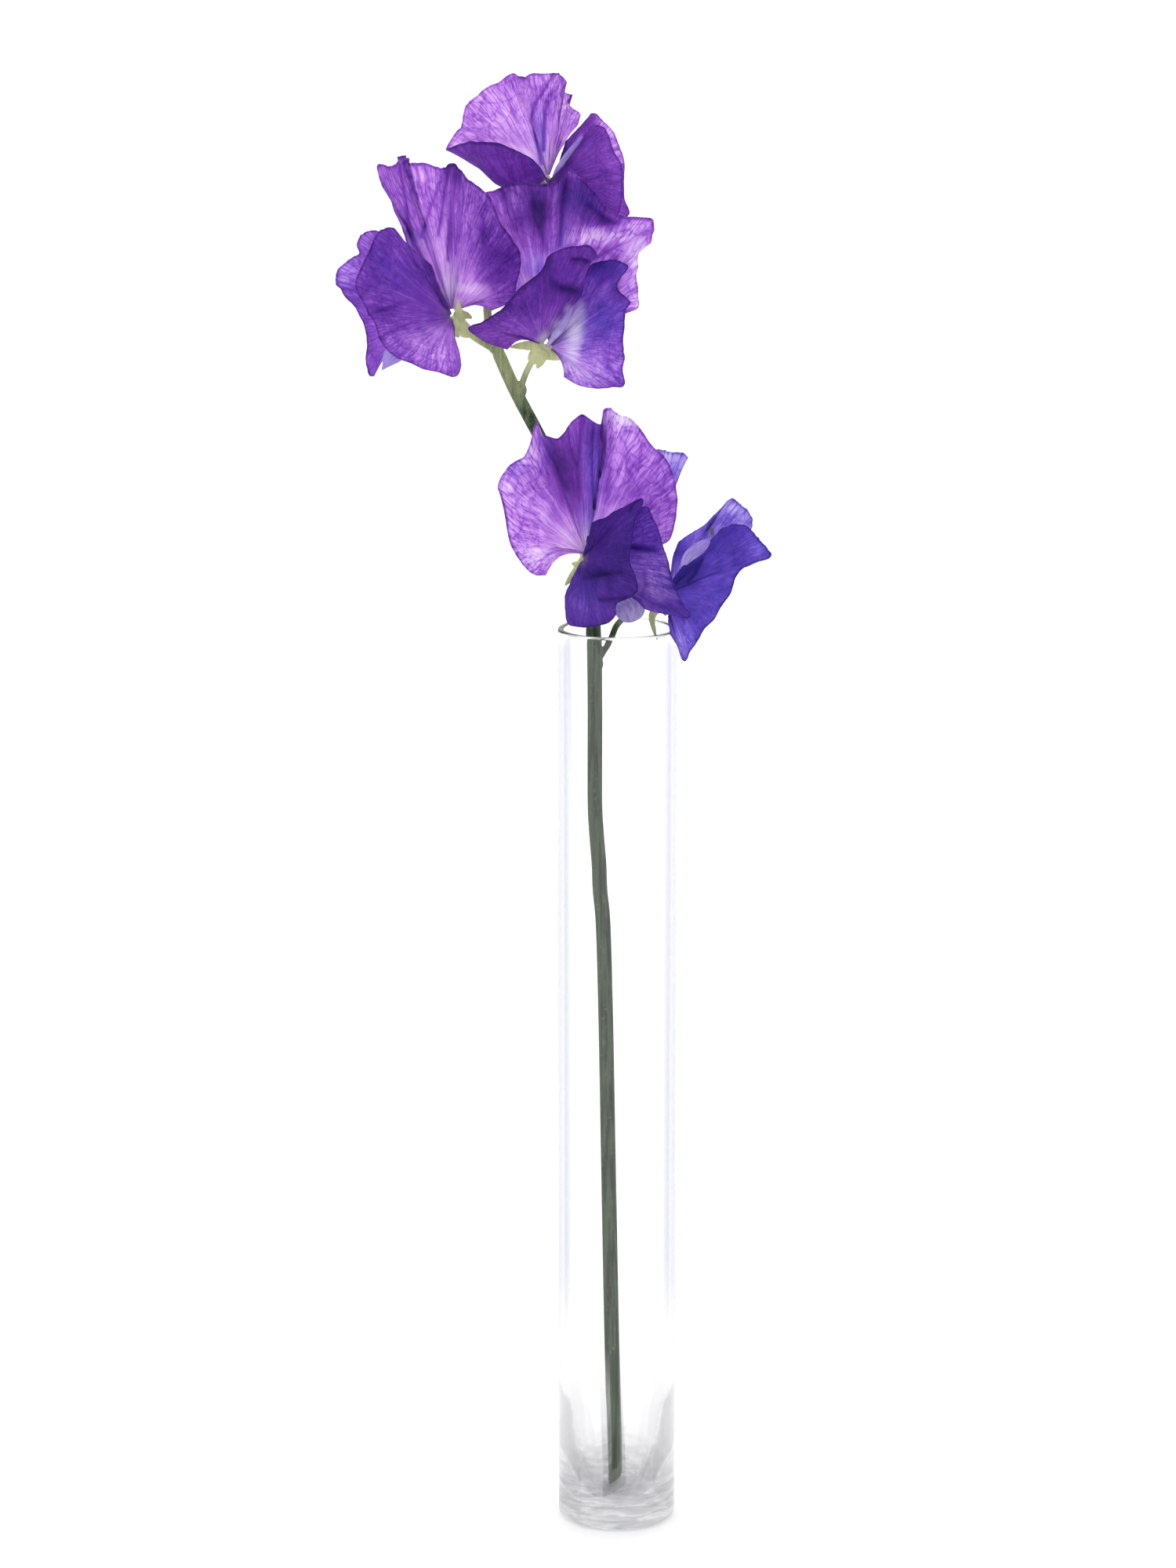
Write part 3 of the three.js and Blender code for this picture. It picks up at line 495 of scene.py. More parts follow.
# Blooms. Each one's numbers are in its own frame, in millimetres: x to the right, y away from the viewer,
# z up, leaned back by its tilt in degrees. A calyx has its foot, its mouth, the side that the banner stands
# on, and the tips of its teeth, each perhaps followed by a point that it passes on the way.
# A margin entry is a point of the petal's edge, perhaps followed by the point that its rib passes half-way.
# Sweep is how far the edge is carried back, or forward if negative, at even steps along it. Waves are their
# count and height, and crown is the ribs' own bulge. Keel radii are pairs, across and deep.
lowLeftBloom = {
    "name": "bloom_low_left",
    "place": [-9, 5, 250.5],
    "tilt": 9.5,
    "calyx": {
        "foot": [0.6, 5.6, -3.2],
        "mouth": [1.2, 1.2, -1],
        "bannerSide": [0, 0, 1],
        "teeth": [[-4.4, 0.8, -7.6], [-2.2, 0.2, -1.8], [0.8, 2.6, -6.4], [4.6, 2.6, -3.6],
                  [1.4, 5, 4.4]],
    },
    "petals": {
        "banner": {
            "crown": -2,
            "waves": [7, 1.3],
            "sweep": [0, -5, -3, 0.5, 4, 3, -1, -1.5, 0],
            "margin": [
                [-9.8, 0, -4.1, -5.4, -0.6, 0], [-12.8, -0.6, -4.1, -6.4, -1.2, 1],
                [-15.4, -0.6, -1.2, -7.6, -1, 1.6], [-18.4, -0.3, 4.8], [-20.3, 0, 12],
                [-21.1, 0, 17.8], [-18, -0.8, 22.8], [-14.2, -0.8, 25.6], [-12, 0.6, 33],
                [-9.3, 0.2, 30.6], [-5.8, -0.6, 29.9], [-3.8, 0, 32.2], [0, 0.4, 35.2],
                [4.3, -0.8, 33.6], [6.3, 0, 34.2], [7, 1.4, 37], [8.8, 1.6, 36.2], [13, 1, 34.2],
                [18.2, 0, 27.2], [21.5, 0, 24], [23.6, -0.4, 18.5], [24, -0.8, 12.5], [22.9, -1, 6.4],
                [20.3, -0.2, 3], [13, 1.4, 0.4], [6, 3.4, 0.4],
            ],
        },
        "wing_right": {
            "crown": -4,
            "waves": [4, 0.6],
            "sweep": [0, 0, 0, 0, 0],
            "margin": [
                [2.4, -2.5, 4.6], [3.6, -4, 7.2], [5.6, -5, 9.2], [8.2, -5.5, 11.1], [11, -5.5, 12.6],
                [14, -5, 13.8], [15.6, -6, 13.4], [13.6, -8.5, 9], [12.6, -10.5, 4], [12, -12, -1],
                [13.5, -13, -5.5], [14, -13, -8.6], [11.6, -12.5, -10.6], [8.7, -12, -12],
                [8.4, -11.5, -15], [6.2, -11, -16.8], [2.5, -10.5, -17.5], [-1, -10, -17.7],
                [-3.6, -9, -16.8], [-4.3, -8, -13.6], [-3.7, -6.5, -10.2, -1.8, -4.6, -5.5],
            ],
        },
        "wing_left": {
            "crown": -3,
            "waves": [4, 0.6],
            "sweep": [0, 0, -1.5, -1, 0],
            "margin": [
                [6, -1.6, 5], [10, -2.5, 9], [13.5, -3, 12], [16.6, -4, 12.4], [17.9, -5, 9.6],
                [19.4, -5, 6.4], [20.4, -5.5, 2.6], [21.5, -6.5, -0.5], [22.4, -8.5, -4.5],
                [23.6, -10.5, -8.6], [25.6, -12.8, -12.4], [27.2, -14.2, -15.2], [24, -13.5, -15.1],
                [20, -13, -14.3], [16.4, -12.5, -13.4], [14.2, -12, -11.6],
            ],
        },
        "keel": {
            "path": [[2.6, -2, -4.2], [7, -3, -8.6], [11.4, -4.8, -12], [12.2, -6.2, -16.6]],
            "radii": [[0.5, 0.5], [1.4, 0.8], [3, 1.1], [4.1, 1.2], [3.9, 0.8]],
        },
    },
}

lowRightBloom = {
    "name": "bloom_low_right",
    "place": [14.5, -3, 238.2],
    "tilt": 10.1,
    "calyx": {
        "foot": [-8, 3, 2],
        "mouth": [-3, 0.8, 3.5],
        "bannerSide": [-0.4, 0.5, 0.75],
        "teeth": [
            [-4.7, -0.4, -7.9, -5.9, 0.6, -1.6], [-2.6, 3.6, -1.6], [-5.4, 4.6, 1.6], [-6.6, 1.4, 9.4],
            [-5.6, 0.4, 7],
        ],
    },
    "petals": {
        "banner": {
            "crown": 2.5,
            "waves": [5, 1.2],
            "sweep": [0, 0, 0, 0, 0],
            "margin": [
                [-6, 15, 3, -4.6, 7.4, 6.4], [-7, 21, 5, -4.9, 10.8, 7.4], [-7.4, 26, 9, -5.1, 13.8, 9],
                [-7, 29, 16], [-6, 29, 23], [-4, 26.6, 29], [-0.8, 22, 33, -3.4, 13.4, 18.4],
                [2.9, 16.4, 38.8, -3, 11, 21], [-1, 14.4, 40.2, -3.6, 10, 22],
                [-5, 13.2, 40.4, -5.2, 9.4, 22.4], [-8.4, 12.2, 37, -7, 9, 21.4],
            ],
        },
        "wing_left": {
            "crown": -0.4,
            "waves": [4, 0.6],
            "sweep": [0, 1.5, 4, 3, 0],
            "margin": [
                [-1, 2, 13.2], [0.8, 2.4, 17], [4, 2.5, 19.4], [8, 2.5, 21.8], [11, 2, 24.7],
                [12.6, 1.4, 27], [14.4, 1.2, 27.8], [16.4, 0.8, 26.4], [18.2, 0.6, 25],
                [19.4, 0.2, 22.6], [19, 0, 20.4], [14, 0.4, 13.4], [7, 1.2, 7.6],
            ],
        },
        "wing_right": {
            "crown": -1.6,
            "waves": [4, 0.6],
            "sweep": [0, -3, -6, -4, 0],
            "margin": [
                [12.2, -3.2, 19.6, 3.2, -2.6, 12.4], [14.5, -3, 21], [17, -3, 21.3], [19, -3.4, 19.8],
                [21, -4, 17.4], [23, -4.5, 15], [23.5, -4.8, 13.6], [20.5, -5, 12], [16.6, -5.2, 10],
                [14, -5.2, 5.5], [10.5, -5.2, 0], [7, -5.2, -5.5], [4, -5.4, -10.5], [2, -5.4, -12.8],
                [0.4, -5.2, -10], [-0.7, -4.6, -6],
            ],
        },
        "keel": {
            "path": [[1.4, -1.4, 7.8], [3.8, -2.6, 12.6], [7, -3.2, 15.8], [9, -3, 17.6],
                     [8.8, -2.6, 20.6]],
            "radii": [[0.5, 0.5], [1.1, 0.6], [2.3, 0.8], [1.8, 0.7], [0.55, 0.55], [0.5, 0.5]],
        },
    },
}

midLeftBloom = {
    "name": "bloom_mid_left",
    "place": [-41, 11, 310.3],
    "tilt": 6.8,
    "calyx": {
        "foot": [3.8, 2.4, -4.6],
        "mouth": [-0.5, 0.5, -0.9],
        "bannerSide": [0.7, 0.5, 0.5],
        "teeth": [
            [1.3, -1.8, 4.2, 1.5, -1.9, 1.2], [4.8, 3.2, -0.9], [2.6, 5.6, -2], [-0.6, 3.6, -5.6],
            [1.6, -1, -5.6],
        ],
    },
    "petals": {
        "banner": {
            "crown": 1.5,
            "waves": [7, 1.2],
            "sweep": [0, 3, 5, 3, 0, -3, -5, -2, 0],
            "margin": [
                [-12.3, 2.6, 18.3], [-14.2, 2.2, 24.5], [-16.2, 1.5, 30.5], [-19.4, 1, 37],
                [-17, 1.6, 36.9], [-14.6, 2.6, 38.1], [-13.4, 1.6, 39.8], [-12.4, 2.6, 38.1],
                [-8.5, 2, 38.1], [-4.5, 1.5, 37.2], [-1.6, 1, 36.8], [-0.4, -0.4, 37.7], [2, -0.4, 36],
                [4.2, 0, 34.3], [6.4, -0.4, 31.7], [9.6, -1, 28], [12.8, -1.4, 23.4],
                [15.2, -1.5, 18.8], [16.8, -1.5, 14], [17, -2, 10], [15.9, -2, 6, 7.6, 0.2, 3.9],
                [13.4, -1.5, 3, 6.4, 0.4, 3.2], [10, -0.8, 1.2, 5, 0.6, 2.6],
            ],
        },
        "wing_left": {
            "crown": -4,
            "waves": [4, 0.6],
            "sweep": [-1, -4, -7, -6, 0],
            "margin": [
                [-5, -5, 12.3, -2.7, -4, 5.7], [-7.6, -5.5, 15], [-12, -6, 18], [-14.4, -6, 21.2],
                [-16.6, -6, 21.7], [-18.6, -6.5, 20.2], [-20.4, -7, 16], [-22.6, -7.5, 11.6],
                [-23.8, -8, 8], [-22.6, -8, 4.6], [-20, -8, 0], [-18, -8.5, -5.5], [-15.8, -8.5, -8.8],
                [-10, -8, -11.8], [-4.6, -7, -13.6], [0.4, -6, -15.3], [1.8, -5, -13], [1.3, -4, -8],
            ],
        },
        "wing_right": {
            "crown": -0.6,
            "waves": [4, 0.6],
            "sweep": [0, 1, -1, -3, 0],
            "margin": [
                [-6, 0.8, 9], [-13, -0.2, 16.6], [-18, -0.6, 20.6], [-20.6, -0.6, 21.1],
                [-23, -0.6, 20.2], [-24, -0.6, 18], [-23.4, -1, 15.4], [-26, -1.5, 13.8],
                [-28.6, -2, 11.4], [-29.2, -2, 8.6], [-28, -2.2, 6], [-25, -2, 2.6], [-22.6, -1.5, -1],
                [-21.4, -1, -5.5], [-21.8, -1, -10.5, -12.2, -0.4, -4],
                [-21.2, -1, -14.8, -12.6, -0.3, -5], [-19.6, -1, -15.4, -12.4, -0.2, -5.6],
            ],
        },
        "keel": {
            "path": [[-4.4, -2.2, -2.6], [-9.6, -4.6, -5.6], [-14.4, -6, -9.4], [-17.6, -6.4, -13.6]],
            "radii": [[0.5, 0.5], [1.6, 0.9], [2.4, 1], [2.5, 1], [0.5, 0.5]],
        },
    },
}

midRightBloom = {
    "name": "bloom_mid_right",
    "place": [-19.5, 9, 302.9],
    "tilt": 7.1,
    "calyx": {
        "foot": [-1.8, 2.5, -3.6],
        "mouth": [1.2, 0.2, -0.4],
        "bannerSide": [-0.3, 0.7, 0.6],
        "teeth": [[-7.6, -0.6, -0.4], [-3.6, 4.4, 2.6], [4.4, 5, -0.4], [6.4, -0.6, -2.6],
                  [-0.8, -1.4, -5.8]],
    },
    "petals": {
        "banner": {
            "crown": 1,
            "waves": [7, 1.2],
            "sweep": [0, 0, -2, -3, -2, -5, 1, 5, 1],
            "margin": [
                [-4, 3, 6], [-9, 4, 12], [-13.5, 4.5, 20], [-16, 4.5, 28], [-16, 4.5, 34],
                [-14, 4.5, 38], [-11, 4, 39], [-8, 3.6, 40.2], [-3.5, 3, 40.9], [0, 2.6, 40.5],
                [4, 3, 40.8], [7.4, 2, 44], [9.2, 1.6, 42.9], [11.4, 1, 41.2], [13, 0.6, 38.8],
                [15.4, 0, 35.6], [18.6, -1, 33.3], [23, -2, 32.2], [27.8, -3, 31.4], [28.8, -3, 29.6],
                [27.8, -2.6, 27.9], [25.6, -1, 25.6], [25.5, 0, 24], [25, 0.6, 20.5], [24, 0.6, 17.6],
                [24.4, 1, 13], [24.7, 1.6, 9.5], [19, 2, 7], [11, 2.8, 4.2],
            ],
        },
        "wing_right": {
            "crown": -4,
            "waves": [4, 0.6],
            "sweep": [-1, -4, -6, -8, -1],
            "margin": [
                [-8.2, -6, -0.9, -4.3, -5, 1.6], [-12.5, -6.5, 0.8, -6.4, -6.4, 2.2],
                [-16, -6.5, 2.4, -8, -7.2, 2.8], [-17.6, -6.5, 4.4, -8.6, -7.4, 3.2], [-15, -6, 5.8],
                [-11.5, -6, 8], [-8.5, -6, 10.1], [-5.5, -6, 13.5], [-3, -6, 16], [0, -6, 18.3],
                [2.2, -6, 22], [5, -6, 23.6], [9, -6, 24.6], [12.4, -6.5, 25], [14, -7, 23],
                [12.9, -7.5, 20], [11.2, -8, 16], [10.2, -8, 12.6],
            ],
        },
        "wing_left": {
            "crown": -2.6,
            "waves": [4, 0.6],
            "sweep": [0, -3, -6, -8, -1],
            "margin": [
                [11.8, -4, 18.8, 8.2, -2.8, 8.6], [14, -4.2, 20.3, 9.2, -3.2, 9.4],
                [17, -4.5, 21.3, 10, -3.8, 9.6], [19.6, -4.5, 21.2], [22.4, -5, 19.6],
                [21.6, -5.5, 17.2], [19.7, -5.5, 15.3], [19.8, -5, 13.6], [22.4, -4.5, 11.4],
                [23, -4.5, 10], [21.6, -5, 7], [20.8, -5.5, 2], [20.9, -6, -4], [21.4, -6.5, -9.8],
                [17.5, -7, -10.8], [13, -7, -10.4, 8, -5, -4.9], [9, -6.5, -9.4, 6.4, -4.4, -4.2],
                [6.6, -6, -8, 5.4, -3.6, -3.6],
            ],
        },
        "keel": {
            "path": [[3.3, -2, 1.8], [5.1, -3.9, 4.6], [7.2, -5.5, 8.4], [8.6, -6.1, 11.6]],
            "radii": [[0.4, 0.4], [0.7, 0.45], [1.3, 0.5], [1, 0.5], [0.3, 0.3]],
        },
    },
}

topBloom = {
    "name": "bloom_top",
    "place": [-17, 22, 342.4],
    "tilt": 5.3,
    "calyx": {
        "foot": [-2.8, 1.5, -4.5],
        "mouth": [0, -0.3, -0.6],
        "bannerSide": [-0.6, 0.6, 0.5],
        "teeth": [[-4.4, 3.6, 0.6], [-0.6, 4.6, 2], [3.6, 3, -3], [2, -0.8, -5.4], [-3.6, -2, -3.4]],
    },
    "petals": {
        "banner": {
            "crown": 0.8,
            "waves": [6, 1.1],
            "sweep": [1, 3, 5, 6, 4, 2, 0, -3, 0],
            "margin": [
                [6.6, 0.2, 14.8, 2.6, 0.6, 8.2], [7.2, 0.4, 17.4, 2.6, 0.7, 9.2],
                [5.2, 1.4, 19, 2.4, 0.8, 9.8], [5.2, 2, 20.4], [5.6, 2, 21.9], [4.1, 2, 22.8],
                [4.5, 1.6, 25], [2.2, 1, 26.8], [0.8, 0, 27.2], [-2, 1, 27.2], [-4.7, 1.6, 27.6],
                [-6, 1, 26.4], [-8, 0, 26.2], [-9.5, 0.6, 27], [-12.8, 1, 25.1], [-16, 1.6, 23.7],
                [-18.8, 1.6, 21.2], [-21, 1.6, 19], [-21.9, 1.6, 16], [-22, 1, 14.2], [-24, 0.4, 12],
                [-26, -1.4, 7.8, -14, 0, 3.6], [-23.5, -4, 9, -13.6, -1.6, 1.2],
                [-20, -5.6, 10.2, -12.4, -2, -0.4], [-16.5, -6.4, 10.5, -10.6, -2.4, -1],
                [-11, -6.6, 9.4, -8, -2.6, -1], [-7, -6.2, 7, -5, -3, 1],
                [-3.4, -4.6, 4.6, -2.4, -2.2, 2], [1.4, -4.4, -1.6, 0.6, -2.2, 0],
            ],
        },
        "wing_right": {
            "crown": -1.6,
            "waves": [3, 0.5],
            "sweep": [-1, -3, -6, -2, 0],
            "margin": [
                [10.5, -4.5, 13.6, 5.6, -3.8, 6.2], [12, -4.5, 14, 6.2, -4, 6.3], [14, -4.5, 13.2],
                [15.4, -5, 10], [16.6, -5, 7], [18, -5.2, 4.4], [18.4, -5.4, 0], [18.2, -5.4, -5],
                [16.6, -5, -9], [12, -4.4, -10], [6.4, -3.6, -7],
            ],
        },
        "wing_left": {
            "crown": -0.2,
            "waves": [3, 0.5],
            "sweep": [0, 2, 3, 2, 0],
            "margin": [
                [2, 0, 5], [3, 0, 8], [4, 0, 10], [6, 0, 12.2], [8, 0, 14.2], [10, -0.4, 16],
                [11.4, -0.8, 16.9], [13, -1.2, 15.5], [15.5, -1.4, 13], [17, -1.6, 10.5],
                [18.3, -1.8, 7], [18.7, -2, 4.5], [18.6, -2, 0], [18.8, -2, -4], [20, -2, -8],
                [16, -1.4, -10.4], [10, -0.6, -9.4], [5, 0, -6],
            ],
        },
        "keel": {
            "path": [[2.6, -1.6, 2.8], [5.4, -2.2, 6.6], [7.6, -2.4, 9.4], [9.2, -2.4, 11.6]],
            "radii": [[0.5, 0.5], [1.3, 0.6], [1.5, 0.6], [1.2, 0.6], [0.4, 0.4]],
        },
    },
}


# What the solid leaves out of each petal, in its bloom's own millimetres, seen from the front: its own
# colour, with painted shade and painted highlights among it.
# depth and blue: how deep, and how blue, the whole petal is.
# dark, bluer, whiter: soft patches, each the x and z of its centre, its reach in x and in z, and how much.
# The dark patches are partly the petal's deeper colour and partly painted shade, where petals overlap, lie
# in two layers or shadow one another; a negative one makes the petal lighter.
# creases: the points x, z that a fold runs through, then its width, how much darker it is, and how far it
# stands forward. The darkening is painted shade in the fold; a negative one is a painted highlight along a
# fold's crest or a rolled edge.
# bands: stretches of the margin whose ribs are darker: start, end, softness at each, how much. The
# darkening is painted shade where the petal lies folded over itself in two layers.
marks = {
    "bloom_top_banner": {
        "depth": 0.2, "blue": 0.02,
        "dark": [
            [-2.2, 12, 1.4, 9, 0.22], [-6.8, 25.6, 1.8, 0.5, 0.45], [-15.5, 12.8, 1.6, 0.9, 0.16],
            [-18, 13.4, 3, 0.8, 0.1], [2.5, 14, 3, 4, 0.04], [4, 22, 3, 4, -0.08],
            [5.6, 20.8, 0.6, 0.9, 0.7], [-17, 11, 7, 1, 0.12],
        ],
        "bluer": [[-2.2, 10, 1.5, 8, 0.5]],
        "whiter": [[-0.2, 4.5, 1, 4, 0.25], [-4.8, 19.3, 0.4, 0.5, 0.5], [-0.9, 21, 0.4, 1, 0.4]],
        "creases": [
            [[[1, 27], [-1.5, 23], [-3.6, 20], [-4.2, 16.5], [-3.6, 11], [-2.2, 4.5]], 0.45, 0.5, -0.45],
            [[[3, 25.5], [1.3, 23], [-0.8, 20]], 0.35, 0.35, 0.3],
            [[[-0.3, 19.8], [-1, 17.5], [-1.3, 14], [-1.5, 8]], 0.5, 0.5, 0.35],
            [[[4.4, 23.6], [2, 21.6], [0.2, 20]], 0.3, 0.3, -0.25],
            [[[7.2, 18.9], [4.5, 18.9], [2.8, 18.6]], 0.35, -0.6, 0.2],
        ],
        "bands": [[0.752, 1.1, 0.003, 0.001, 0.56]],
    },
    "bloom_top_wing_right": {
        "depth": 0.6, "blue": 0.05,
        "dark": [
            [2.5, 5, 2.2, 6, 0.25], [10, 12, 3, 2, 0.08], [13, -9, 5, 3, 0.15],
            [15.5, 6, 1.5, 5, -0.06],
        ],
        "creases": [
            [[[9, 0.2], [12, 1.2], [14, 2.2], [17, 2.5]], 0.4, 0.2, -0.35],
            [[[4.5, 4.6], [6.8, 7], [9.4, 11]], 0.6, 0.22, 0.4],
            [[[12, 12], [13, 5], [12.4, -2]], 1.2, 0.05, 0.4],
        ],
    },
    "bloom_top_wing_left": {
        "depth": 0.6, "blue": 0.05,
        "creases": [
            [[[1, 2], [4, 8], [7, 13], [10.4, 16]], 1.7, 0.32, 0.3],
            [[[4.6, 5.6], [6.4, 8.4], [8, 10.6]], 0.8, -0.6, -0.2],
            [[[11.8, 16], [14.6, 13.4], [16.6, 9.8], [18.2, 5]], 1.6, -0.45, 0.2],
        ],
    },
    "bloom_mid_left_banner": {
        "depth": 0.36, "blue": 0.05,
        "dark": [
            [12.5, 14, 5.5, 9, 0.3], [10.5, 14.5, 2.5, 2, 0.12], [8.5, 8.5, 3.5, 0.8, 0.1],
            [8, 19, 1.5, 6, 0.14], [0.9, 34.5, 1.4, 2.6, 0.3], [-8, 21, 2.6, 3, 0.12],
            [-11.5, 22, 2, 6, 0.15], [-15.5, 34, 3, 4, 0.08], [-7, 34.5, 3.6, 3, -0.2],
            [-3, 17, 2.2, 5, -0.16], [-4.5, 25, 1.5, 6, -0.08], [6.5, 6.5, 3.5, 1.6, -0.32],
        ],
        "bluer": [[-9, 19, 3, 3, 0.25]],
        "whiter": [[-1, 8, 2.2, 4.6, 0.6], [2.5, 6.6, 1.8, 1.4, 0.35]],
        "creases": [
            [[[-13.5, 39.8], [-12.9, 32], [-11.6, 23], [-9.9, 17]], 0.4, 0.32, 0.5],
            [[[-1.2, 36.6], [-4.3, 30.5], [-6.4, 25], [-8, 19.5]], 0.5, 0.28, -0.4],
            [[[-0.6, 37], [-2.2, 29], [-3.8, 20]], 0.45, 0.42, -0.5],
            [[[0.6, 37], [0.4, 29], [-0.2, 21], [-1, 14]], 0.8, 0.32, 0.45],
            [[[1.6, 35], [1.7, 26], [0.6, 15]], 0.3, 0.25, -0.25],
            [[[3.6, 34], [2.8, 26], [1.6, 18]], 0.3, 0.2, 0.2],
            [[[0.9, 9.5], [1.1, 5]], 0.7, 0.2, -0.3],
        ],
    },
    "bloom_mid_left_wing_left": {
        "depth": 0.56, "blue": 0.1,
        "dark": [
            [-17.5, 15, 3, 4.5, 0.2], [-21.5, 7, 2.2, 1.2, 0.28], [-18, 1.3, 3.5, 1, 0.12],
            [-8, 10, 4, 4, 0.08], [-6, -8, 7.5, 5, -0.3], [-1, -12, 3, 3, -0.1],
            [-11, -4, 5, 2.5, -0.1], [-15.5, -6, 1, 0.9, -0.3],
        ],
        "bluer": [[-18, 14, 4, 5, 0.2], [-12, 9, 5, 5, 0.15]],
        "creases": [
            [[[-20, 0.5], [-16.5, 1.4], [-12.5, 2.8]], 0.7, 0.22, -0.5],
            [[[-5.2, 12.5], [-4.1, 8], [-2.6, 3.5], [-0.6, -2]], 1, 0.22, 0.3],
            [[[-17.5, -5.5], [-15.2, -4], [-12, -3]], 0.5, 0.18, -0.3],
            [[[-22, 4.5], [-17, 5.5], [-11, 7]], 0.8, 0.05, 0.4],
            [[[-19.5, 17.5], [-20.5, 13], [-19, 9]], 0.6, 0.12, -0.5],
        ],
    },
    "bloom_mid_left_wing_right": {
        "depth": 0.44, "blue": 0.15,
        "dark": [
            [-24, 4, 4, 3, 0.16], [-21, -8, 3, 7, 0.2], [-19, 17, 2, 3, 0.2],
            [-26.5, 10, 2.8, 3.4, -0.14], [-21.8, 18.5, 1.8, 2, -0.1], [-16, 20.5, 2.5, 1, -0.08],
        ],
        "bluer": [[-26, 9, 4, 5, 0.2]],
        "creases": [[[[-28.5, 6.2], [-25, 6.3], [-22.5, 6]], 0.4, 0.22, 0.3]],
    },
    "bloom_mid_right_banner": {
        "depth": 0.46, "blue": 0.05,
        "dark": [
            [17, 31, 3, 1.8, 0.5], [13.5, 33, 3.6, 3, 0.28], [10, 37, 3, 4, 0.15],
            [0.5, 34, 2, 6, 0.2], [6.5, 38, 1.5, 5, 0.15], [-6.5, 35, 1.5, 4, -0.14],
            [-2.5, 25, 2.2, 5, -0.12], [3.6, 32, 0.8, 4, -0.12], [0, 33, 5, 5, 0.2],
            [16, 27, 6, 1.8, -0.62], [25, 29.5, 3.5, 1.2, -0.34], [11, 27, 3, 2, -0.2],
            [23.5, 21, 3, 8, -0.6], [-1, 32, 4, 5, 0.25], [24.6, 11, 1.5, 2, -0.5],
        ],
        "bluer": [
            [10, 36, 5, 4, 0.35], [-0.5, 20, 4, 3, 0.45], [6, 26, 2, 4, 0.3], [-3, 36, 3, 4, 0.15],
        ],
        "whiter": [[-3, 15.5, 2, 3, 0.4], [24.5, 11, 1.4, 2, 0.5], [25, 22, 1.6, 6, 0.6]],
        "creases": [
            [[[-10, 38.6], [-8, 33], [-6, 28.5]], 0.4, 0.28, -0.35],
            [[[-9, 38.6], [-6.6, 34], [-4.6, 30]], 0.35, 0.2, 0.3],
            [[[-2, 39.5], [-1.2, 34], [0.6, 28], [1.5, 24]], 1, 0.25, -0.5],
            [[[6.6, 41], [5.6, 35], [5.2, 29], [5, 25]], 0.7, 0.35, -0.6],
            [[[3.6, 40], [3.4, 34], [3.4, 28]], 0.5, -0.12, 0.4],
            [[[7.6, 43], [10, 42], [12.2, 41], [13.2, 39]], 0.4, -0.3, 0.5],
            [[[14, 21.5], [18, 24], [22, 26], [25.5, 27.6]], 0.45, 0.3, -0.4],
            [[[12, 34.5], [15.5, 31.5], [19, 30.4]], 0.8, 0.2, -0.6],
            [[[9, 29], [14, 28.5], [20, 29.5], [27, 31]], 0.6, -0.1, 0.4],
        ],
    },
    "bloom_mid_right_wing_right": {
        "depth": 0.66, "blue": 0.08,
        "dark": [
            [-13, 6.5, 4, 1, 0.1], [0, 19, 3, 3, 0.22], [7, 14.2, 3.5, 1.2, 0.28],
            [-9, 9.5, 4, 1.2, 0.15], [-4, 5, 8, 3, -0.2], [10.5, 17, 2, 3, -0.12],
            [-13, 2.5, 4, 1.5, -0.12], [2, 8, 5, 3, -0.08],
        ],
        "whiter": [[1.5, 2, 2, 1.8, 0.8], [4.5, 5, 1.6, 2, 0.7], [7.2, 8.5, 1.2, 2.2, 0.6]],
        "creases": [
            [[[-16, 5.6], [-10, 9.4], [-5, 13.6], [0, 18.2], [2.4, 22]], 0.9, 0.22, 0.3],
            [[[3.2, 16], [6, 14.4], [9.5, 13.4]], 0.8, 0.25, -0.6],
            [[[8.4, 21.3], [10.5, 21.4], [12, 20.9]], 0.6, 0.5, -0.7],
            [[[6.5, 24.6], [10, 25], [12.8, 24.6], [13.6, 22]], 0.5, 0.1, 0.5],
            [[[-14.5, 4], [-11, 5.5], [-7, 8]], 0.4, 0.08, -0.25],
        ],
    },
    "bloom_mid_right_wing_left": {
        "depth": 0.55, "blue": 0.25,
        "dark": [
            [16, 19.5, 6, 2.4, 0.42], [20.5, 13, 2.4, 3, 0.36], [16, 6, 4, 4, 0.12],
            [19.5, -5, 1.5, 3.5, -0.12], [12, -7, 8, 4, -0.4], [12.5, 15, 2, 4, -0.12],
            [8, -3, 3, 4, -0.25],
        ],
        "bluer": [[16, 19, 7, 3, 0.35], [16, 7, 5, 5, 0.4], [9, 3, 3, 5, 0.4]],
        "whiter": [
            [8.6, 4, 2.6, 5, 1], [10.5, 9, 1.4, 3, 0.4], [8, -4, 2, 4, 0.4], [14, -9, 5, 2, 0.2],
        ],
        "creases": [
            [[[20.6, -1.4], [17.7, -4.7], [20.6, -9.6]], 0.3, 0.25, 0.4],
            [[[10.5, 16], [12, 18.5], [15, 20.4]], 0.6, 0.1, 0.4],
            [[[11.5, 9.5], [13, 13], [16, 16.2], [19.5, 17]], 0.8, 0.15, -0.5],
            [[[12, 2], [16, 4], [20, 8]], 1, 0.06, 0.4],
        ],
    },
    "bloom_low_left_banner": {
        "depth": 0.33, "blue": 0.05,
        "dark": [
            [-5.5, 22, 3, 7, 0.34], [-1, 20, 5, 9, 0.3], [-6, 24.5, 4, 5, 0.2], [1, 30, 5, 4, 0.14],
            [-2.5, 15, 2.4, 6, 0.2], [-8, 28, 2.5, 3.5, 0.25], [5.2, 24, 1.4, 9, 0.16],
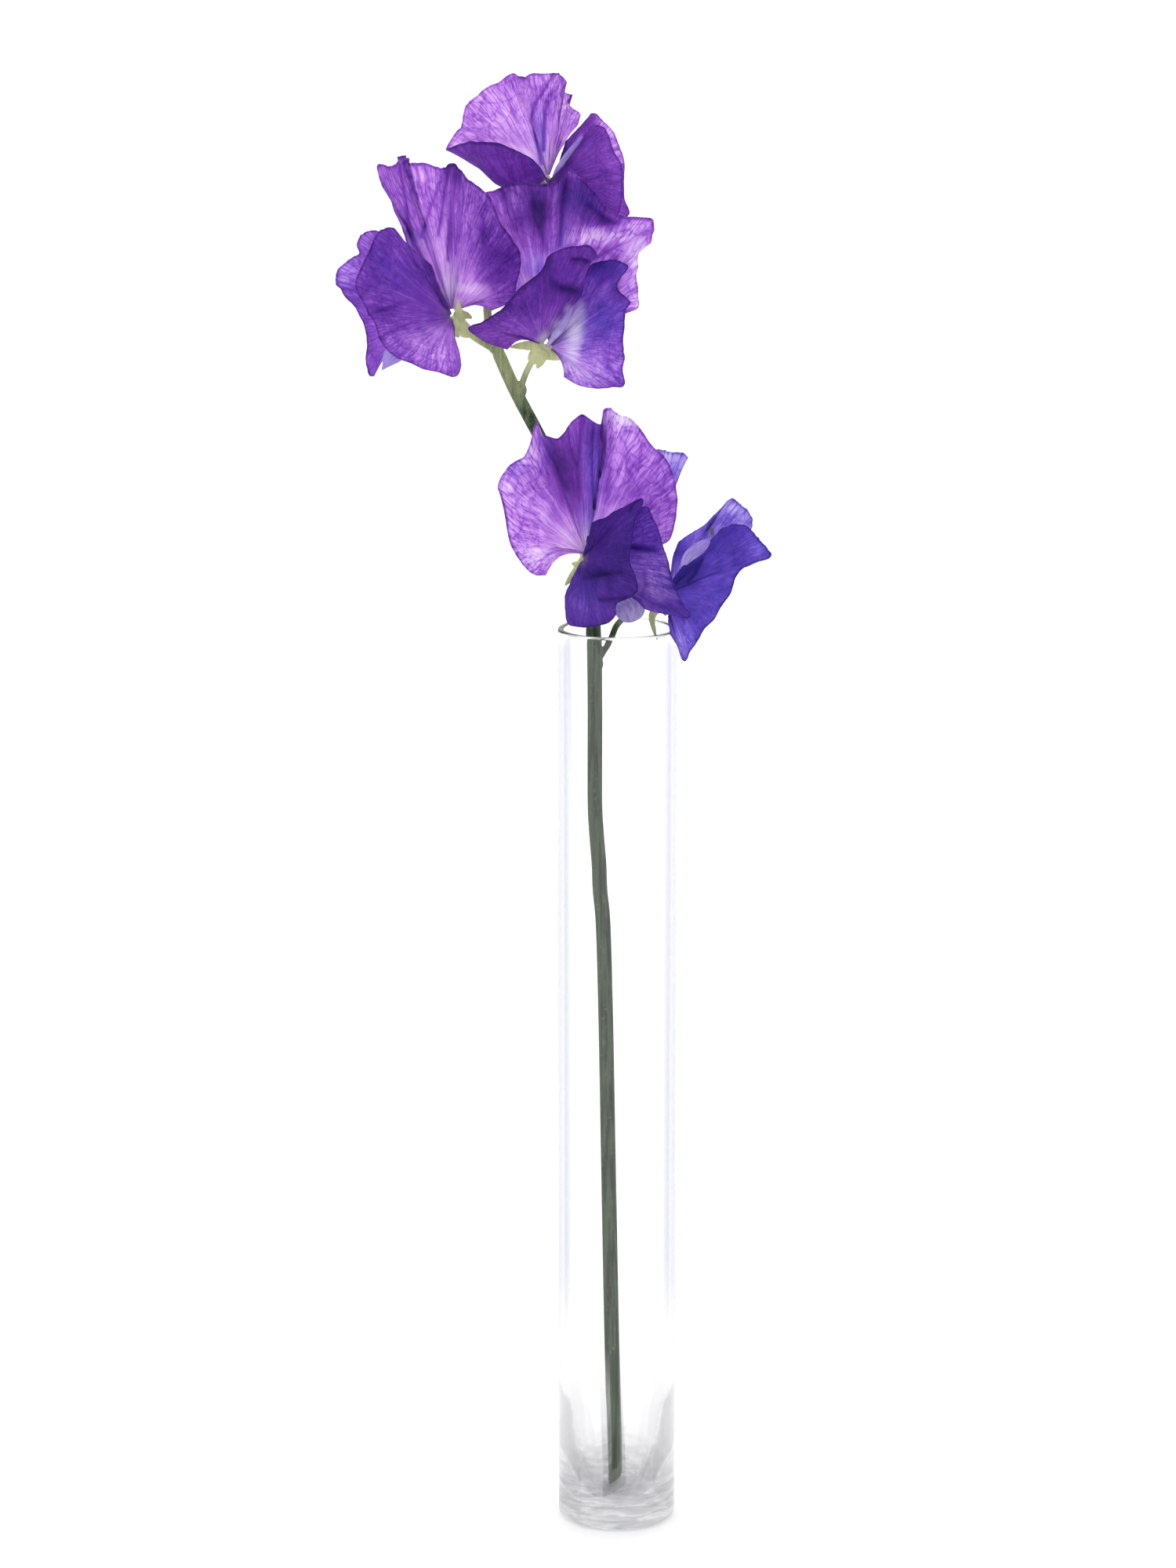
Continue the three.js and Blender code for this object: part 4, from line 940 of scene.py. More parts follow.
            [1.8, 29, 2.4, 5, 0.26], [0.5, 33, 2, 2, 0.15], [14, 16.5, 4.5, 4, 0.2],
            [1, 12, 2, 4, 0.15], [-15, 17, 4, 5, -0.12], [-10, 11, 3.5, 3.5, -0.14],
            [-4, 5.5, 3.5, 3, -0.16], [-12, 0, 5, 3, -0.34], [9.5, 34.5, 4, 3.4, -0.5],
            [-19.5, 18, 2, 6, -0.28], [-14, 25, 2.6, 3, -0.25], [-18, 6, 2.5, 6, -0.2],
            [9.5, 26, 2, 8, -0.1], [-11, 31.5, 2, 2, -0.1], [0.6, 27, 0.8, 3, -0.12],
        ],
        "bluer": [
            [2.8, 22, 2.2, 12, 0.5], [-17, 23, 4, 5, 0.2], [1, 8, 2, 4, 0.4], [-9, 27, 3, 4, 0.2],
        ],
        "whiter": [
            [-12, 0, 5, 3, 0.5], [-19, 19, 1.5, 6, 0.3], [11.5, 34.6, 5, 2.8, 0.95],
            [-13.5, 26, 2, 3, 0.3], [1, 4.5, 1.4, 3, 0.5],
        ],
        "creases": [
            [[[2.8, 33], [2.6, 25], [2.7, 18], [3, 12]], 0.35, 0.4, -0.5],
            [[[7.2, 33.5], [7.3, 27], [7.1, 20], [6.4, 13]], 0.4, 0.2, 0.6],
            [[[0.1, 35], [-0.3, 29], [-1.2, 22], [-0.6, 14]], 0.4, 0.2, 0.35],
            [[[4.4, 33.4], [4.3, 27], [4.4, 20]], 0.4, 0.25, -0.35],
            [[[-3.8, 31.5], [-3, 27], [-1.5, 23]], 0.4, 0.22, -0.4],
            [[[-10.5, 29.5], [-7, 23.5], [-4, 17]], 0.7, 0.16, -0.5],
            [[[-20.8, 16], [-19.6, 9], [-17.8, 4], [-15.4, -0.6]], 0.5, 0.22, 0.5],
        ],
        "bands": [[0.5, 0.6, 0.05, 0.003, 0.2]],
    },
    "bloom_low_left_wing_right": {
        "depth": 0.78, "blue": 0.3,
        "dark": [
            [4, 6, 3, 6, 0.12], [6, -4.5, 5, 1.8, 0.22], [1, -5, 3, 3, 0.08], [9, -10.8, 4, 1, 0.12],
            [6, -13, 6, 3, -0.12], [10, -7, 2.5, 2, -0.14], [-1, -13, 3, 3, -0.06],
            [12, 5, 2, 3, -0.06],
        ],
        "bluer": [[1, -10, 5, 8, 0.25]],
        "creases": [
            [[[4.5, -11], [9, -10.6], [12.5, -10.4], [14, -9.2]], 0.5, 0.22, -0.5],
            [[[0, -5.5], [5, -4.6], [10, -4]], 0.8, 0.14, -0.6],
            [[[2, 3.5], [4, 8], [8, 11]], 0.6, 0.08, 0.4],
            [[[12.2, 11], [13, 12.6], [14.6, 13.6]], 0.5, 0.25, -0.5],
            [[[8, -1], [12, -1.5], [14, -4]], 0.8, 0.06, 0.5],
        ],
    },
    "bloom_low_left_wing_left": {
        "depth": 0.54, "blue": 0.42,
        "dark": [
            [15, 2, 3, 0.8, 0.4], [20, -12, 5, 1.2, 0.15], [14, 12, 2, 2, 0.15],
            [18, -6.5, 4, 4, -0.3], [22, -10.5, 3, 2, -0.1], [14, 8, 3, 2.5, -0.06],
        ],
        "creases": [
            [[[12, 2.2], [15, 1.8], [18, 1.6]], 0.7, 0.35, -0.8],
            [[[14.5, -9.5], [18, -12], [22, -13], [26, -13.6]], 0.45, 0.22, 0.4],
            [[[15.5, -3], [15.8, -7], [14.8, -10]], 0.5, 0.1, -0.4],
            [[[17, 8], [18.5, 4], [19.5, 0]], 0.6, 0.08, 0.3],
        ],
    },
    "bloom_low_right_banner": {
        "depth": 0.33, "blue": 0.7,
        "dark": [[1.5, 14, 2, 2.5, 0.3], [-2, 38, 4, 2, -0.55]],
        "whiter": [[-1, 38.6, 3, 1, 0.7]],
    },
    "bloom_low_right_wing_left": {
        "depth": 0.44, "blue": 0.75,
        "dark": [
            [1.5, 14.5, 2.4, 2.4, 0.4], [14.5, 25, 2.6, 2, -0.32], [17.5, 22.5, 2, 2, -0.25],
            [11, 24.5, 2, 2, -0.1],
        ],
        "whiter": [[15, 25.5, 2.4, 1.6, 0.5], [17.8, 22.6, 1.6, 2, 0.3]],
        "creases": [
            [[[9, 18], [12, 20], [16, 21.3], [18.8, 20]], 0.4, -0.25, 0.3],
            [[[4, 17], [9, 21.5], [13, 24]], 0.8, 0.08, -0.4],
        ],
    },
    "bloom_low_right_wing_right": {
        "depth": 0.76, "blue": 0.75,
        "dark": [
            [4, 9, 3, 4, 0.2], [4.5, 0, 1.5, 1.5, 0.15], [16.5, 14, 2, 2, 0.1],
            [21, 14.8, 2.2, 2, -0.3], [2, -8, 3, 5, -0.42], [12, 6, 2, 3, -0.06],
        ],
        "creases": [
            [[[6.6, 12.4], [4.8, 9], [3, 6.8]], 0.5, 0.25, -0.4],
            [[[12, 18], [14, 14], [15, 10]], 0.8, 0.06, 0.4],
            [[[2, -2], [2, -7], [2, -11]], 0.4, 0.1, -0.3],
            [[[3.6, -2], [3.2, -8]], 0.3, 0.08, 0.2],
        ],
    },
}


blooms = [lowLeftBloom, lowRightBloom, midLeftBloom, midRightBloom, topBloom]
# Claws sit above the calyx's mouth by the gap; each petal's is moved on forward, up and to the right
clawLook = {
    "gap": 0.4, "radius": 0.9,
    "offsets": {"banner": (0.35, 1.5, 0), "wing_left": (0.15, 0, -1.2), "wing_right": (0.15, 0, 1.2),
                "keel": (0.4, -0.5, 0)},
}


def calyxFrame(bloom):
    foot = np.array(bloom["calyx"]["foot"], float)
    mouth = np.array(bloom["calyx"]["mouth"], float)
    axis = normalised(mouth - foot)
    up = np.array(bloom["calyx"]["bannerSide"], float)
    up = normalised(up - axis * up.dot(axis))
    return foot, mouth, axis, up, np.cross(axis, up)


def clawPlace(bloom, petalName):
    mouth, axis, up, right = calyxFrame(bloom)[1:]
    forward, upward, sideways = clawLook["offsets"][petalName]
    return mouth + axis * (clawLook["gap"] + forward) + up * upward + right * sideways


def inPlace(bloom, points):
    # From the bloom's own frame to the whole object's
    lean = -math.radians(bloom["tilt"])
    turned = np.array(points, float)
    turned[..., 1] = points[..., 1] * math.cos(lean) - points[..., 2] * math.sin(lean)
    turned[..., 2] = points[..., 1] * math.sin(lean) + points[..., 2] * math.cos(lean)
    return turned + np.array(bloom["place"])


# Petals. Heights and widths are in millimetres, counts are multiples of the petal's own count of waves, and
# starts are places from the claw, 0, to the edge, 1. Fineness is the sheet's faces along the margin and
# along the ribs.
petalShape = {
    "fineness": {"banner": (230, 88), "wing_left": (132, 58), "wing_right": (132, 58)},
    "thickness": 0.3,
    "reliefWidth": 0.55,  # no crease's relief is narrower
    "waves": {"start": 0.4, "phase": 0.7},
    "frill": {"start": 0.6, "height": 0.3, "count": 2.7, "phase": 2.1, "drift": 1.5, "driftRate": 9},
    "uneven": {"share": 0.4, "count": 0.37, "phase": 1.3},
    "pleats": [{"height": 0.05, "count": 6.3, "drift": 0}, {"height": 0.04, "count": 9.1, "drift": 2}],
    "pleatFade": 0.4,
    "dents": {"width": 7, "height": 0.45}, "smallDents": {"width": 2.3, "height": 0.14},
    "ragged": {"depth": 0.006, "count": 70, "sharpness": 12},  # its depth is a share of the rib
}


def petalSurface(bloom, petalName):
    # The petal's smooth sheet: ribs fan out from a small arc round the claw to the margin's points
    petal = bloom["petals"][petalName]
    claw = clawPlace(bloom, petalName)
    margin = np.array([entry[:3] for entry in petal["margin"]], float)
    reach = np.linalg.norm(margin - claw, axis=1)
    middle = (margin + claw) / 2
    middle[:, 1] += petal["crown"] * reach / reach.max()
    for i, entry in enumerate(petal["margin"]):
        if len(entry) > 3:
            middle[i] = entry[3:]
    sweep = [[0, depth, 0] for depth in petal["sweep"]]

    def surface(u, t):
        half = throughPoints(middle, u)
        start = claw + normalised(half - claw) * clawLook["radius"]
        end = throughPoints(margin, u)
        t = t[:, None]
        pull = 2 * half - 0.5 * start - 0.5 * end
        return start * (1 - t) ** 2 + pull * 2 * t * (1 - t) + (end + throughPoints(sweep, u)) * t ** 2

    return surface


def bladeNormal(surface, u, t):
    step = 0.004
    t = np.clip(t, 10 * step, 1 - step)
    u = np.clip(u, step, 1 - step)
    alongU = surface(u + step, t) - surface(u - step, t)
    alongT = surface(u, t + step) - surface(u, t - step)
    return normalised(np.cross(alongU, alongT))


def beyond(start, t):
    # 0 up to start, then growing to 1 at the edge
    return np.maximum(0, (t - start) / (1 - start))


def ruffleHeight(petal, u, t):
    # Large waves as in the solid, then an uneven frill at the edge and shallow pleats along the ribs
    count, height = petal["waves"]
    turn = 2 * math.pi * count * u
    waves, frill, uneven = (petalShape[key] for key in ("waves", "frill", "uneven"))
    total = height * beyond(waves["start"], t) ** 2 * np.sin(turn + waves["phase"])
    unevenness = 1 - uneven["share"] + uneven["share"] * np.sin(turn * uneven["count"] + uneven["phase"])
    edge = frill["height"] * beyond(frill["start"], t) ** 2 * unevenness
    drift = frill["phase"] + frill["drift"] * np.sin(frill["driftRate"] * u)
    total += edge * np.sin(turn * frill["count"] + drift)
    folds = sum(pleat["height"] * np.sin(turn * pleat["count"] + pleat["drift"] * t)
                for pleat in petalShape["pleats"])
    return total + folds * np.clip(t * 3, 0, 1) * (1 - petalShape["pleatFade"] * t)


def dentNoise(places, width):
    return np.array([noise.noise(Vector(place) / width) for place in places])


def crumpleHeight(places, t):
    # Soft dents with small ones among them, none at the claw
    dents, smallDents = petalShape["dents"], petalShape["smallDents"]
    large = (1 - 2 * np.abs(dentNoise(places, dents["width"]))) * dents["height"]
    small = dentNoise(places, smallDents["width"]) * smallDents["height"]
    return (large + small) * np.clip(t * 2, 0, 1)


def nearness(patches, places):
    # How much the soft patches add at each place
    total = np.zeros(len(places))
    for x, z, reachX, reachZ, amount in patches:
        distance = ((places[:, 0] - x) / reachX) ** 2 + ((places[:, 2] - z) / reachZ) ** 2
        total += amount * np.exp(-distance)
    return total


def creaseNearness(points, width, places):
    # 1 on the crease's line, as the front view shows it, fading over its width
    flat = places[:, (0, 2)]
    nearest = np.full(len(places), 1e9)
    for start, end in zip(points[:-1], points[1:]):
        start = np.array(start, float)
        stretch = np.array(end, float) - start
        share = np.clip((flat - start) @ stretch / (stretch @ stretch), 0, 1)
        nearest = np.minimum(nearest, np.linalg.norm(flat - start - share[:, None] * stretch, axis=1))
    return np.exp(-(nearest / width) ** 2)


def bandNearness(band, u):
    start, end, softStart, softEnd = band[:4]
    return np.clip((u - start) / softStart, 0, 1) * np.clip((end - u) / softEnd, 0, 1)


def makePetal(bloom, petalName, material):
    petal = bloom["petals"][petalName]
    node = bloom["name"] + "_" + petalName
    mark = marks[node]
    columns, rows = petalShape["fineness"][petalName]
    deselectAll()
    bpy.ops.mesh.primitive_grid_add(x_subdivisions=columns, y_subdivisions=rows, size=1, calc_uvs=True)
    piece = bpy.context.object
    piece.name = node + "_petal"
    flat = vertexPlaces(piece)
    u = np.clip(flat[:, 0] + 0.5, 0, 1)
    t = np.clip(flat[:, 1] + 0.5, 0, 1)
    ragged = petalShape["ragged"]
    notches = np.array([noise.noise(Vector((ragged["count"] * share, columns, 0.5))) for share in u])
    t = t * (1 - ragged["depth"] * (1 + notches) * t ** ragged["sharpness"])
    surface = petalSurface(bloom, petalName)
    places = surface(u, t)
    height = ruffleHeight(petal, u, t) + crumpleHeight(places, t)
    # dark: the petal's own depth of colour plus painted shade where petals overlap, lie in layers or shadow
    # one another
    dark = mark["depth"] + nearness(mark.get("dark", []), places)
    blue = mark["blue"] + nearness(mark.get("bluer", []), places)
    white = nearness(mark.get("whiter", []), places)
    across = bladeNormal(surface, u, t)
    towardViewer = -np.sign(across[:, 1])
    # A crease's darkening is painted shade in its fold; a negative one is a painted highlight on a crest or
    # rolled edge
    for points, width, creaseShading, forward in mark.get("creases", []):
        dark += creaseShading * creaseNearness(points, width, places)
        reliefWidth = max(width, petalShape["reliefWidth"])
        height += forward * creaseNearness(points, reliefWidth, places) * towardViewer
    # Bands add painted shade where the petal lies folded over itself
    for band in mark.get("bands", []):
        dark += band[4] * bandNearness(band, u)
    places = places + across * height[:, None]
    setAttribute(piece, "dark", dark)
    setAttribute(piece, "blue", blue)
    setAttribute(piece, "white", white)
    moveVertices(piece, inPlace(bloom, places) * mm)
    sheet = {"thickness": petalShape["thickness"] * mm, "offset": 0, "use_even_offset": False}
    applyModifier(piece, "SOLIDIFY", sheet)
    bpy.ops.object.shade_smooth()
    finishPiece(piece, node, material)


# Petal colours as depth grows, each with the colour of the light that comes through it. Depth carries
# painted shade as well as the petal's own colour, so the deeper steps also stand for shade. Counts run
# along the margin and lengths along the ribs. The pairs say where, from the claw, 0, to the edge, 1, a
# line, the pale claw or the dark edge comes in or goes.
petalLook = {
    "steps": [
        {"depth": 0, "skin": (222, 192, 244), "glow": (0.95, 0.84, 0.98)},
        {"depth": 0.25, "skin": (190, 126, 222), "glow": (0.83, 0.58, 0.95)},
        {"depth": 0.5, "skin": (128, 66, 180), "glow": (0.62, 0.34, 0.82)},
        {"depth": 0.75, "skin": (86, 40, 144), "glow": (0.46, 0.22, 0.66)},
        {"depth": 1, "skin": (48, 24, 98), "glow": (0.27, 0.13, 0.46)},
    ],
    "blueSteps": [
        {"depth": 0.1, "skin": (176, 168, 240), "glow": (0.78, 0.74, 0.98)},
        {"depth": 0.6, "skin": (74, 62, 178), "glow": (0.4, 0.34, 0.86)},
        {"depth": 1, "skin": (34, 26, 116), "glow": (0.2, 0.16, 0.56)},
    ],
    "white": {"skin": (232, 226, 244), "glow": (0.95, 0.93, 0.99)},
    "through": 0.72, "roughness": 0.5, "sheen": 0.12, "sheenRoughness": 0.4, "specular": 0.3,
    "bump": 0.55, "bumpHeight": 0.00022, "relief": {"strands": 0.5, "vein": 0.3, "grain": 0.2},
    "veins": {"banner": 95, "wing": 60}, "veinLength": 2.2, "veinSharpness": 6,
    "wander": {"across": 9, "along": 4, "reach": 2.6},
    "fine": {"count": 2.3, "length": 5, "sharpness": 5, "fade": (0.25, 0.7)},
    "net": {"count": 0.32, "length": 11, "wander": 0.4, "line": 0.11, "fade": (0.3, 0.75)},
    "blotchScale": 260, "grainScale": 1500,
    "lineDepths": {"vein": 0.3, "fine": 0.24, "net": 0.2},
    "lineless": 1.15,  # so dark that no line shows
    "base": -0.14, "strandDepth": 0.24, "blotchDepth": 0.34, "grainDepth": 0.2,
    "edge": (0.972, 0.992), "edgeDepth": 0.22, "blotchBlue": 0.3,
    "claw": (0.02, 0.16), "clawWhite": 0.3, "clawUneven": 0.2, "strandWhite": 1.5, "lineWhite": 0.8,
}


def steppedLook(finish, depth, steps, bump):
    # The skin's colour and the glow at this depth, mixed from step to step
    tint = colour(*steps[0]["skin"])
    glow = finish.glow(steps[0]["glow"], bump)
    for before, after in zip(steps[:-1], steps[1:]):
        span = {"Value": depth, "From Min": before["depth"], "From Max": after["depth"]}
        share = finish.node("ShaderNodeMapRange", {}, span)
        tint = finish.colourMix(share, tint, colour(*after["skin"]))
        glow = finish.shaderMix(share, glow, finish.glow(after["glow"], bump))
    return tint, glow


def petalLines(finish, u, t, veinCount, settings):
    # Veins fan out with the ribs, branch towards the margin and wander a little
    wandering, fineLook, netLook = (settings[key] for key in ("wander", "fine", "net"))
    drift = finish.noise(finish.combine(u * wandering["across"], t * wandering["along"], 0.5), 1)
    wander = drift * wandering["reach"]
    strandPlace = finish.combine(u * veinCount + wander, t * settings["veinLength"], 0)
    strands = finish.noise(strandPlace, 1, 2, 0.55)
    finePlace = finish.combine(u * (veinCount * fineLook["count"]) + wander, t * fineLook["length"], 3.1)
    fine = finish.noise(finePlace, 1, 2, 0.6)
    vein = finish.ridge(strands, settings["veinSharpness"])
    fineVein = finish.ridge(fine, fineLook["sharpness"]) * finish.ramp(t, *fineLook["fade"])
    cellPlace = finish.combine(u * (veinCount * netLook["count"]) + wander * netLook["wander"],
                               t * netLook["length"], 0)
    cells = finish.node("ShaderNodeTexVoronoi", {"feature": "DISTANCE_TO_EDGE"},
                        {"Vector": cellPlace, "Scale": 1})
    net = (1 - finish.ramp(cells, 0, netLook["line"])) * finish.ramp(t, *netLook["fade"])
    depths = settings["lineDepths"]
    return strands, vein, vein * depths["vein"] + fineVein * depths["fine"] + net * depths["net"]


def petalMaterial(name, veinCount, settings):
    finish = Finish(name)
    uv = finish.node("ShaderNodeTexCoord", {}, {}, "UV")
    u = finish.split(uv, "X")
    t = finish.split(uv, "Y")
    place = finish.objectPlace()
    # dark brings the petal's own depth of colour and painted shade together
    dark, blue, white = (finish.attribute(key) for key in ("dark", "blue", "white"))
    strands, vein, lines = petalLines(finish, u, t, veinCount, settings)
    lines = lines * (settings["lineless"] - dark)
    blotches = finish.noise(place, settings["blotchScale"], 3, 0.55) - 0.5
    grain = finish.noise(place, settings["grainScale"], 2, 0.6)
    depth = dark + settings["base"] + lines + (strands - 0.5) * settings["strandDepth"]
    depth = depth + blotches * settings["blotchDepth"] + (grain - 0.5) * settings["grainDepth"]
    depth = (depth + finish.ramp(t, *settings["edge"]) * settings["edgeDepth"]).held()
    blueShare = (blue + blotches * settings["blotchBlue"]).held()
    fromClaw = finish.ramp(t + (strands - 0.5) * settings["clawUneven"], *settings["claw"])
    claw = (1 - fromClaw) * settings["clawWhite"]
    whiteShare = white * (settings["strandWhite"] - strands) + claw - lines * settings["lineWhite"]
    whiteShare = whiteShare.held()
    raised = settings["relief"]
    relief = strands * raised["strands"] + vein * raised["vein"] + grain * raised["grain"]
    bump = finish.bump(settings["bump"], settings["bumpHeight"], relief)
    tint, glow = steppedLook(finish, depth, settings["steps"], bump)
    blueTint, blueGlow = steppedLook(finish, depth, settings["blueSteps"], bump)
    tint = finish.colourMix(blueShare, tint, blueTint)
    tint = finish.colourMix(whiteShare, tint, colour(*settings["white"]["skin"]))
    glow = finish.shaderMix(blueShare, glow, blueGlow)
    glow = finish.shaderMix(whiteShare, glow, finish.glow(settings["white"]["glow"], bump))
    inputs = {"Base Color": tint, "Roughness": settings["roughness"], "Sheen Weight": settings["sheen"],
              "Sheen Roughness": settings["sheenRoughness"], "Specular IOR Level": settings["specular"],
              "Normal": bump}
    return finish.finishWith(finish.shaderMix(settings["through"], finish.principled(inputs), glow))


# Keels: the tip's share is the rounded part of the length, and the dark style is a length in millimetres
keelLook = {
    "sides": 48, "rings": 90, "tipShare": 0.22, "tipShares": {"bloom_low_right": 0.02},
    "styleLengths": {"bloom_low_right": 3}, "style": (74, 68, 58),
    "paleness": {"bloom_low_left": 1, "bloom_mid_left": 0.4, "bloom_mid_right": 0.6},
    "base": (192, 174, 238), "tip": (158, 130, 226), "tipRange": (0.2, 0.9), "unevenTip": 0.4,
    "pale": (226, 216, 240), "paleShare": 0.7,
    "vein": (92, 52, 168), "veinShare": 0.6, "veinSharpness": 6, "streaks": 26, "streakLength": 4,
    "roughness": 0.5, "bump": 0.4, "bumpHeight": 0.0002, "glow": (0.7, 0.6, 0.95), "through": 0.3,
}


def keelMaterial(settings):
    finish = Finish("keel_skin")
    uv = finish.node("ShaderNodeTexCoord", {}, {}, "UV")
    along = finish.split(uv, "Y")
    across = finish.split(uv, "X") * settings["streaks"]
    streaks = finish.noise(finish.combine(across, along * settings["streakLength"], 0), 1)
    towardTip = finish.ramp(along + (streaks - 0.5) * settings["unevenTip"], *settings["tipRange"])
    tint = finish.colourMix(towardTip, colour(*settings["base"]), colour(*settings["tip"]))
    pale = finish.attribute("pale") * settings["paleShare"]
    tint = finish.colourMix(pale, tint, colour(*settings["pale"]))
    vein = finish.ridge(streaks, settings["veinSharpness"]) * settings["veinShare"]
    tint = finish.colourMix(vein, tint, colour(*settings["vein"]))
    tint = finish.colourMix(finish.attribute("style"), tint, colour(*settings["style"]))
    bump = finish.bump(settings["bump"], settings["bumpHeight"], streaks)
    skin = finish.principled({"Base Color": tint, "Roughness": settings["roughness"], "Normal": bump})
    return finish.finishWith(finish.shaderMix(settings["through"], skin, finish.glow(settings["glow"])))


def makeKeel(bloom, material, settings):
    name = bloom["name"]
    keel = bloom["petals"]["keel"]
    path = inPlace(bloom, np.array([clawPlace(bloom, "keel"), *keel["path"]], float))
    tipShare = settings["tipShares"].get(name, settings["tipShare"])
    mesh = (settings["sides"], settings["rings"])
    piece = tubeAlong(name + "_keel_petal", path, keel["radii"], *mesh, tipShare)
    fromTip = np.linalg.norm(vertexPlaces(piece) / mm - path[-1], axis=1)
    setAttribute(piece, "style", np.clip(settings["styleLengths"].get(name, 0) - fromTip, 0, 1))
    setAttribute(piece, "pale", np.full(len(fromTip), settings["paleness"].get(name, 0)))
    bpy.ops.object.shade_smooth()
    finishPiece(piece, name + "_keel", material)


bannerSkin = petalMaterial("banner_skin", petalLook["veins"]["banner"], petalLook)
wingSkin = petalMaterial("wing_skin", petalLook["veins"]["wing"], petalLook)
keelSkin = keelMaterial(keelLook)
for bloom in blooms:
    makePetal(bloom, "banner", bannerSkin)
    makePetal(bloom, "wing_left", wingSkin)
    makePetal(bloom, "wing_right", wingSkin)
    makeKeel(bloom, keelSkin, keelLook)
    print(bloom["name"], "made")


# Stem: the stalk, the flower stalks, their thickened joints and the calyxes, grown into one green piece.
# A mesh entry is a tube's sides and rings.
stemLook = {
    "main": [
        [-0.5, 0, 4.4], [-0.4, 0.3, 14.3], [-1.3, 1.6, 48], [-2.1, 3.4, 89], [-2.9, 5.2, 130.5],
        [-3.6, 6.2, 155], [-4.4, 6.6, 164], [-4.7, 6.9, 171], [-5.4, 7.3, 179.5], [-5.8, 7.8, 188],
        [-5.8, 8.8, 211], [-6, 9.6, 229], [-6.2, 10.6, 236], [-6.7, 11.4, 242], [-7.9, 12.3, 250],
        [-11.3, 13.6, 262], [-16.3, 14.6, 272.7], [-20.8, 15, 281.6], [-25.7, 15, 291], [-30.4, 15, 301.6],
    ],
    "radius": 1.95, "topRadius": 1.65, "topFrom": 230, "mainMesh": (32, 320),
    "upper": [
        [-29.8, 15, 300.3], [-32.2, 16.6, 307], [-32.4, 18.4, 316], [-29.6, 20, 326], [-24.4, 22, 334],
        [-19.8, 23.1, 338],
    ],
    "upperRadii": [1.3, 1.1, 1, 0.95, 0.9, 0.9], "upperMesh": (28, 120),
    "stalks": [
        (lowLeftBloom, [[-6.3, 10.8, 237], [-6.9, 10, 242.4]]),
        (lowRightBloom, [[-5.9, 9.2, 221.6], [-3.8, 8.8, 225.2], [-1.7, 7.6, 228.8], [-0.1, 6, 232.8],
                         [3.2, 3.2, 236.6]]),
        (midLeftBloom, [[-30.2, 15, 300.8], [-34.4, 14.6, 303.3]]),
        (midRightBloom, [[-24.6, 15, 290.4], [-23.1, 14, 295]]),
    ],
    "stalkRadius": 0.8, "stalkMesh": (24, 60),
    "joints": [
        {"place": (-5.6, 9.2, 222.4), "size": (2, 1.8, 2.2)},
        {"place": (-24.7, 15, 291), "size": (2, 1.8, 2)},
        {"place": (-30.3, 15, 301.4), "size": (1.9, 1.8, 1.5)},
    ],
    "jointMesh": (28, 20),
    "cut": {"place": (-0.5, 0, 7.25), "normal": (0.7071, 0, -0.7071)},
    "grain": 0.28, "smoothing": {"factor": 0.5, "iterations": 3},
    "old": ((34, 50, 36), (88, 106, 80)), "oldRange": (0.42, 0.58),
    "fresh": ((160, 170, 102), (232, 234, 186)), "youngStart": 1.3, "youngReach": 14,
    "speckle": (190, 200, 150), "speckleScale": 1600, "speckleRange": (0.6, 0.75), "speckleShare": 0.4,
    "streakScale": (1300, 1300, 36), "roughness": 0.6, "specular": 0.2, "bump": 0.8, "bumpHeight": 0.0003,
    "glow": (0.5, 0.6, 0.3), "through": 0.15,
}
# Shares run from the calyx's foot, 0, to its mouth, 1
calyxLook = {
    "radius": 1.95, "cupMesh": (28, 24),
    "cupShares": (-0.12, 0.15, 0.45, 0.8, 1), "cupRadii": [1, 1.8, 2.028, 2.028, 1.6575],
    "toothRadii": [(1.1, 0.5), (1.45, 0.5), (1, 0.45), (0.25, 0.2)], "toothMesh": (16, 24),
    "rootShare": 0.58, "rootReach": 0.6, "shoulderShare": 0.84, "arch": 0.5,
}


def makeCalyx(bloom, settings):
    foot, mouth, axis = calyxFrame(bloom)[:3]

    def at(share):
        return foot + (mouth - foot) * share

    cup = inPlace(bloom, np.array([at(share) for share in settings["cupShares"]]))
    parts = [tubeAlong("cup", cup, settings["cupRadii"], *settings["cupMesh"])]
    for tooth in bloom["calyx"]["teeth"]:
        tip = np.array(tooth[:3], float)
        outward = tip - mouth
        outward = normalised(outward - axis * outward.dot(axis))
        root = at(settings["rootShare"]) + outward * settings["radius"] * settings["rootReach"]
        shoulder = at(settings["shoulderShare"]) + outward * settings["radius"]
        middle = (shoulder + tip) / 2 + outward * settings["arch"]
        if len(tooth) > 3:
            middle = np.array(tooth[3:], float)
        path = inPlace(bloom, np.array([root, shoulder, middle, tip]))
        parts.append(tubeAlong("tooth", path, settings["toothRadii"], *settings["toothMesh"]))
    return parts


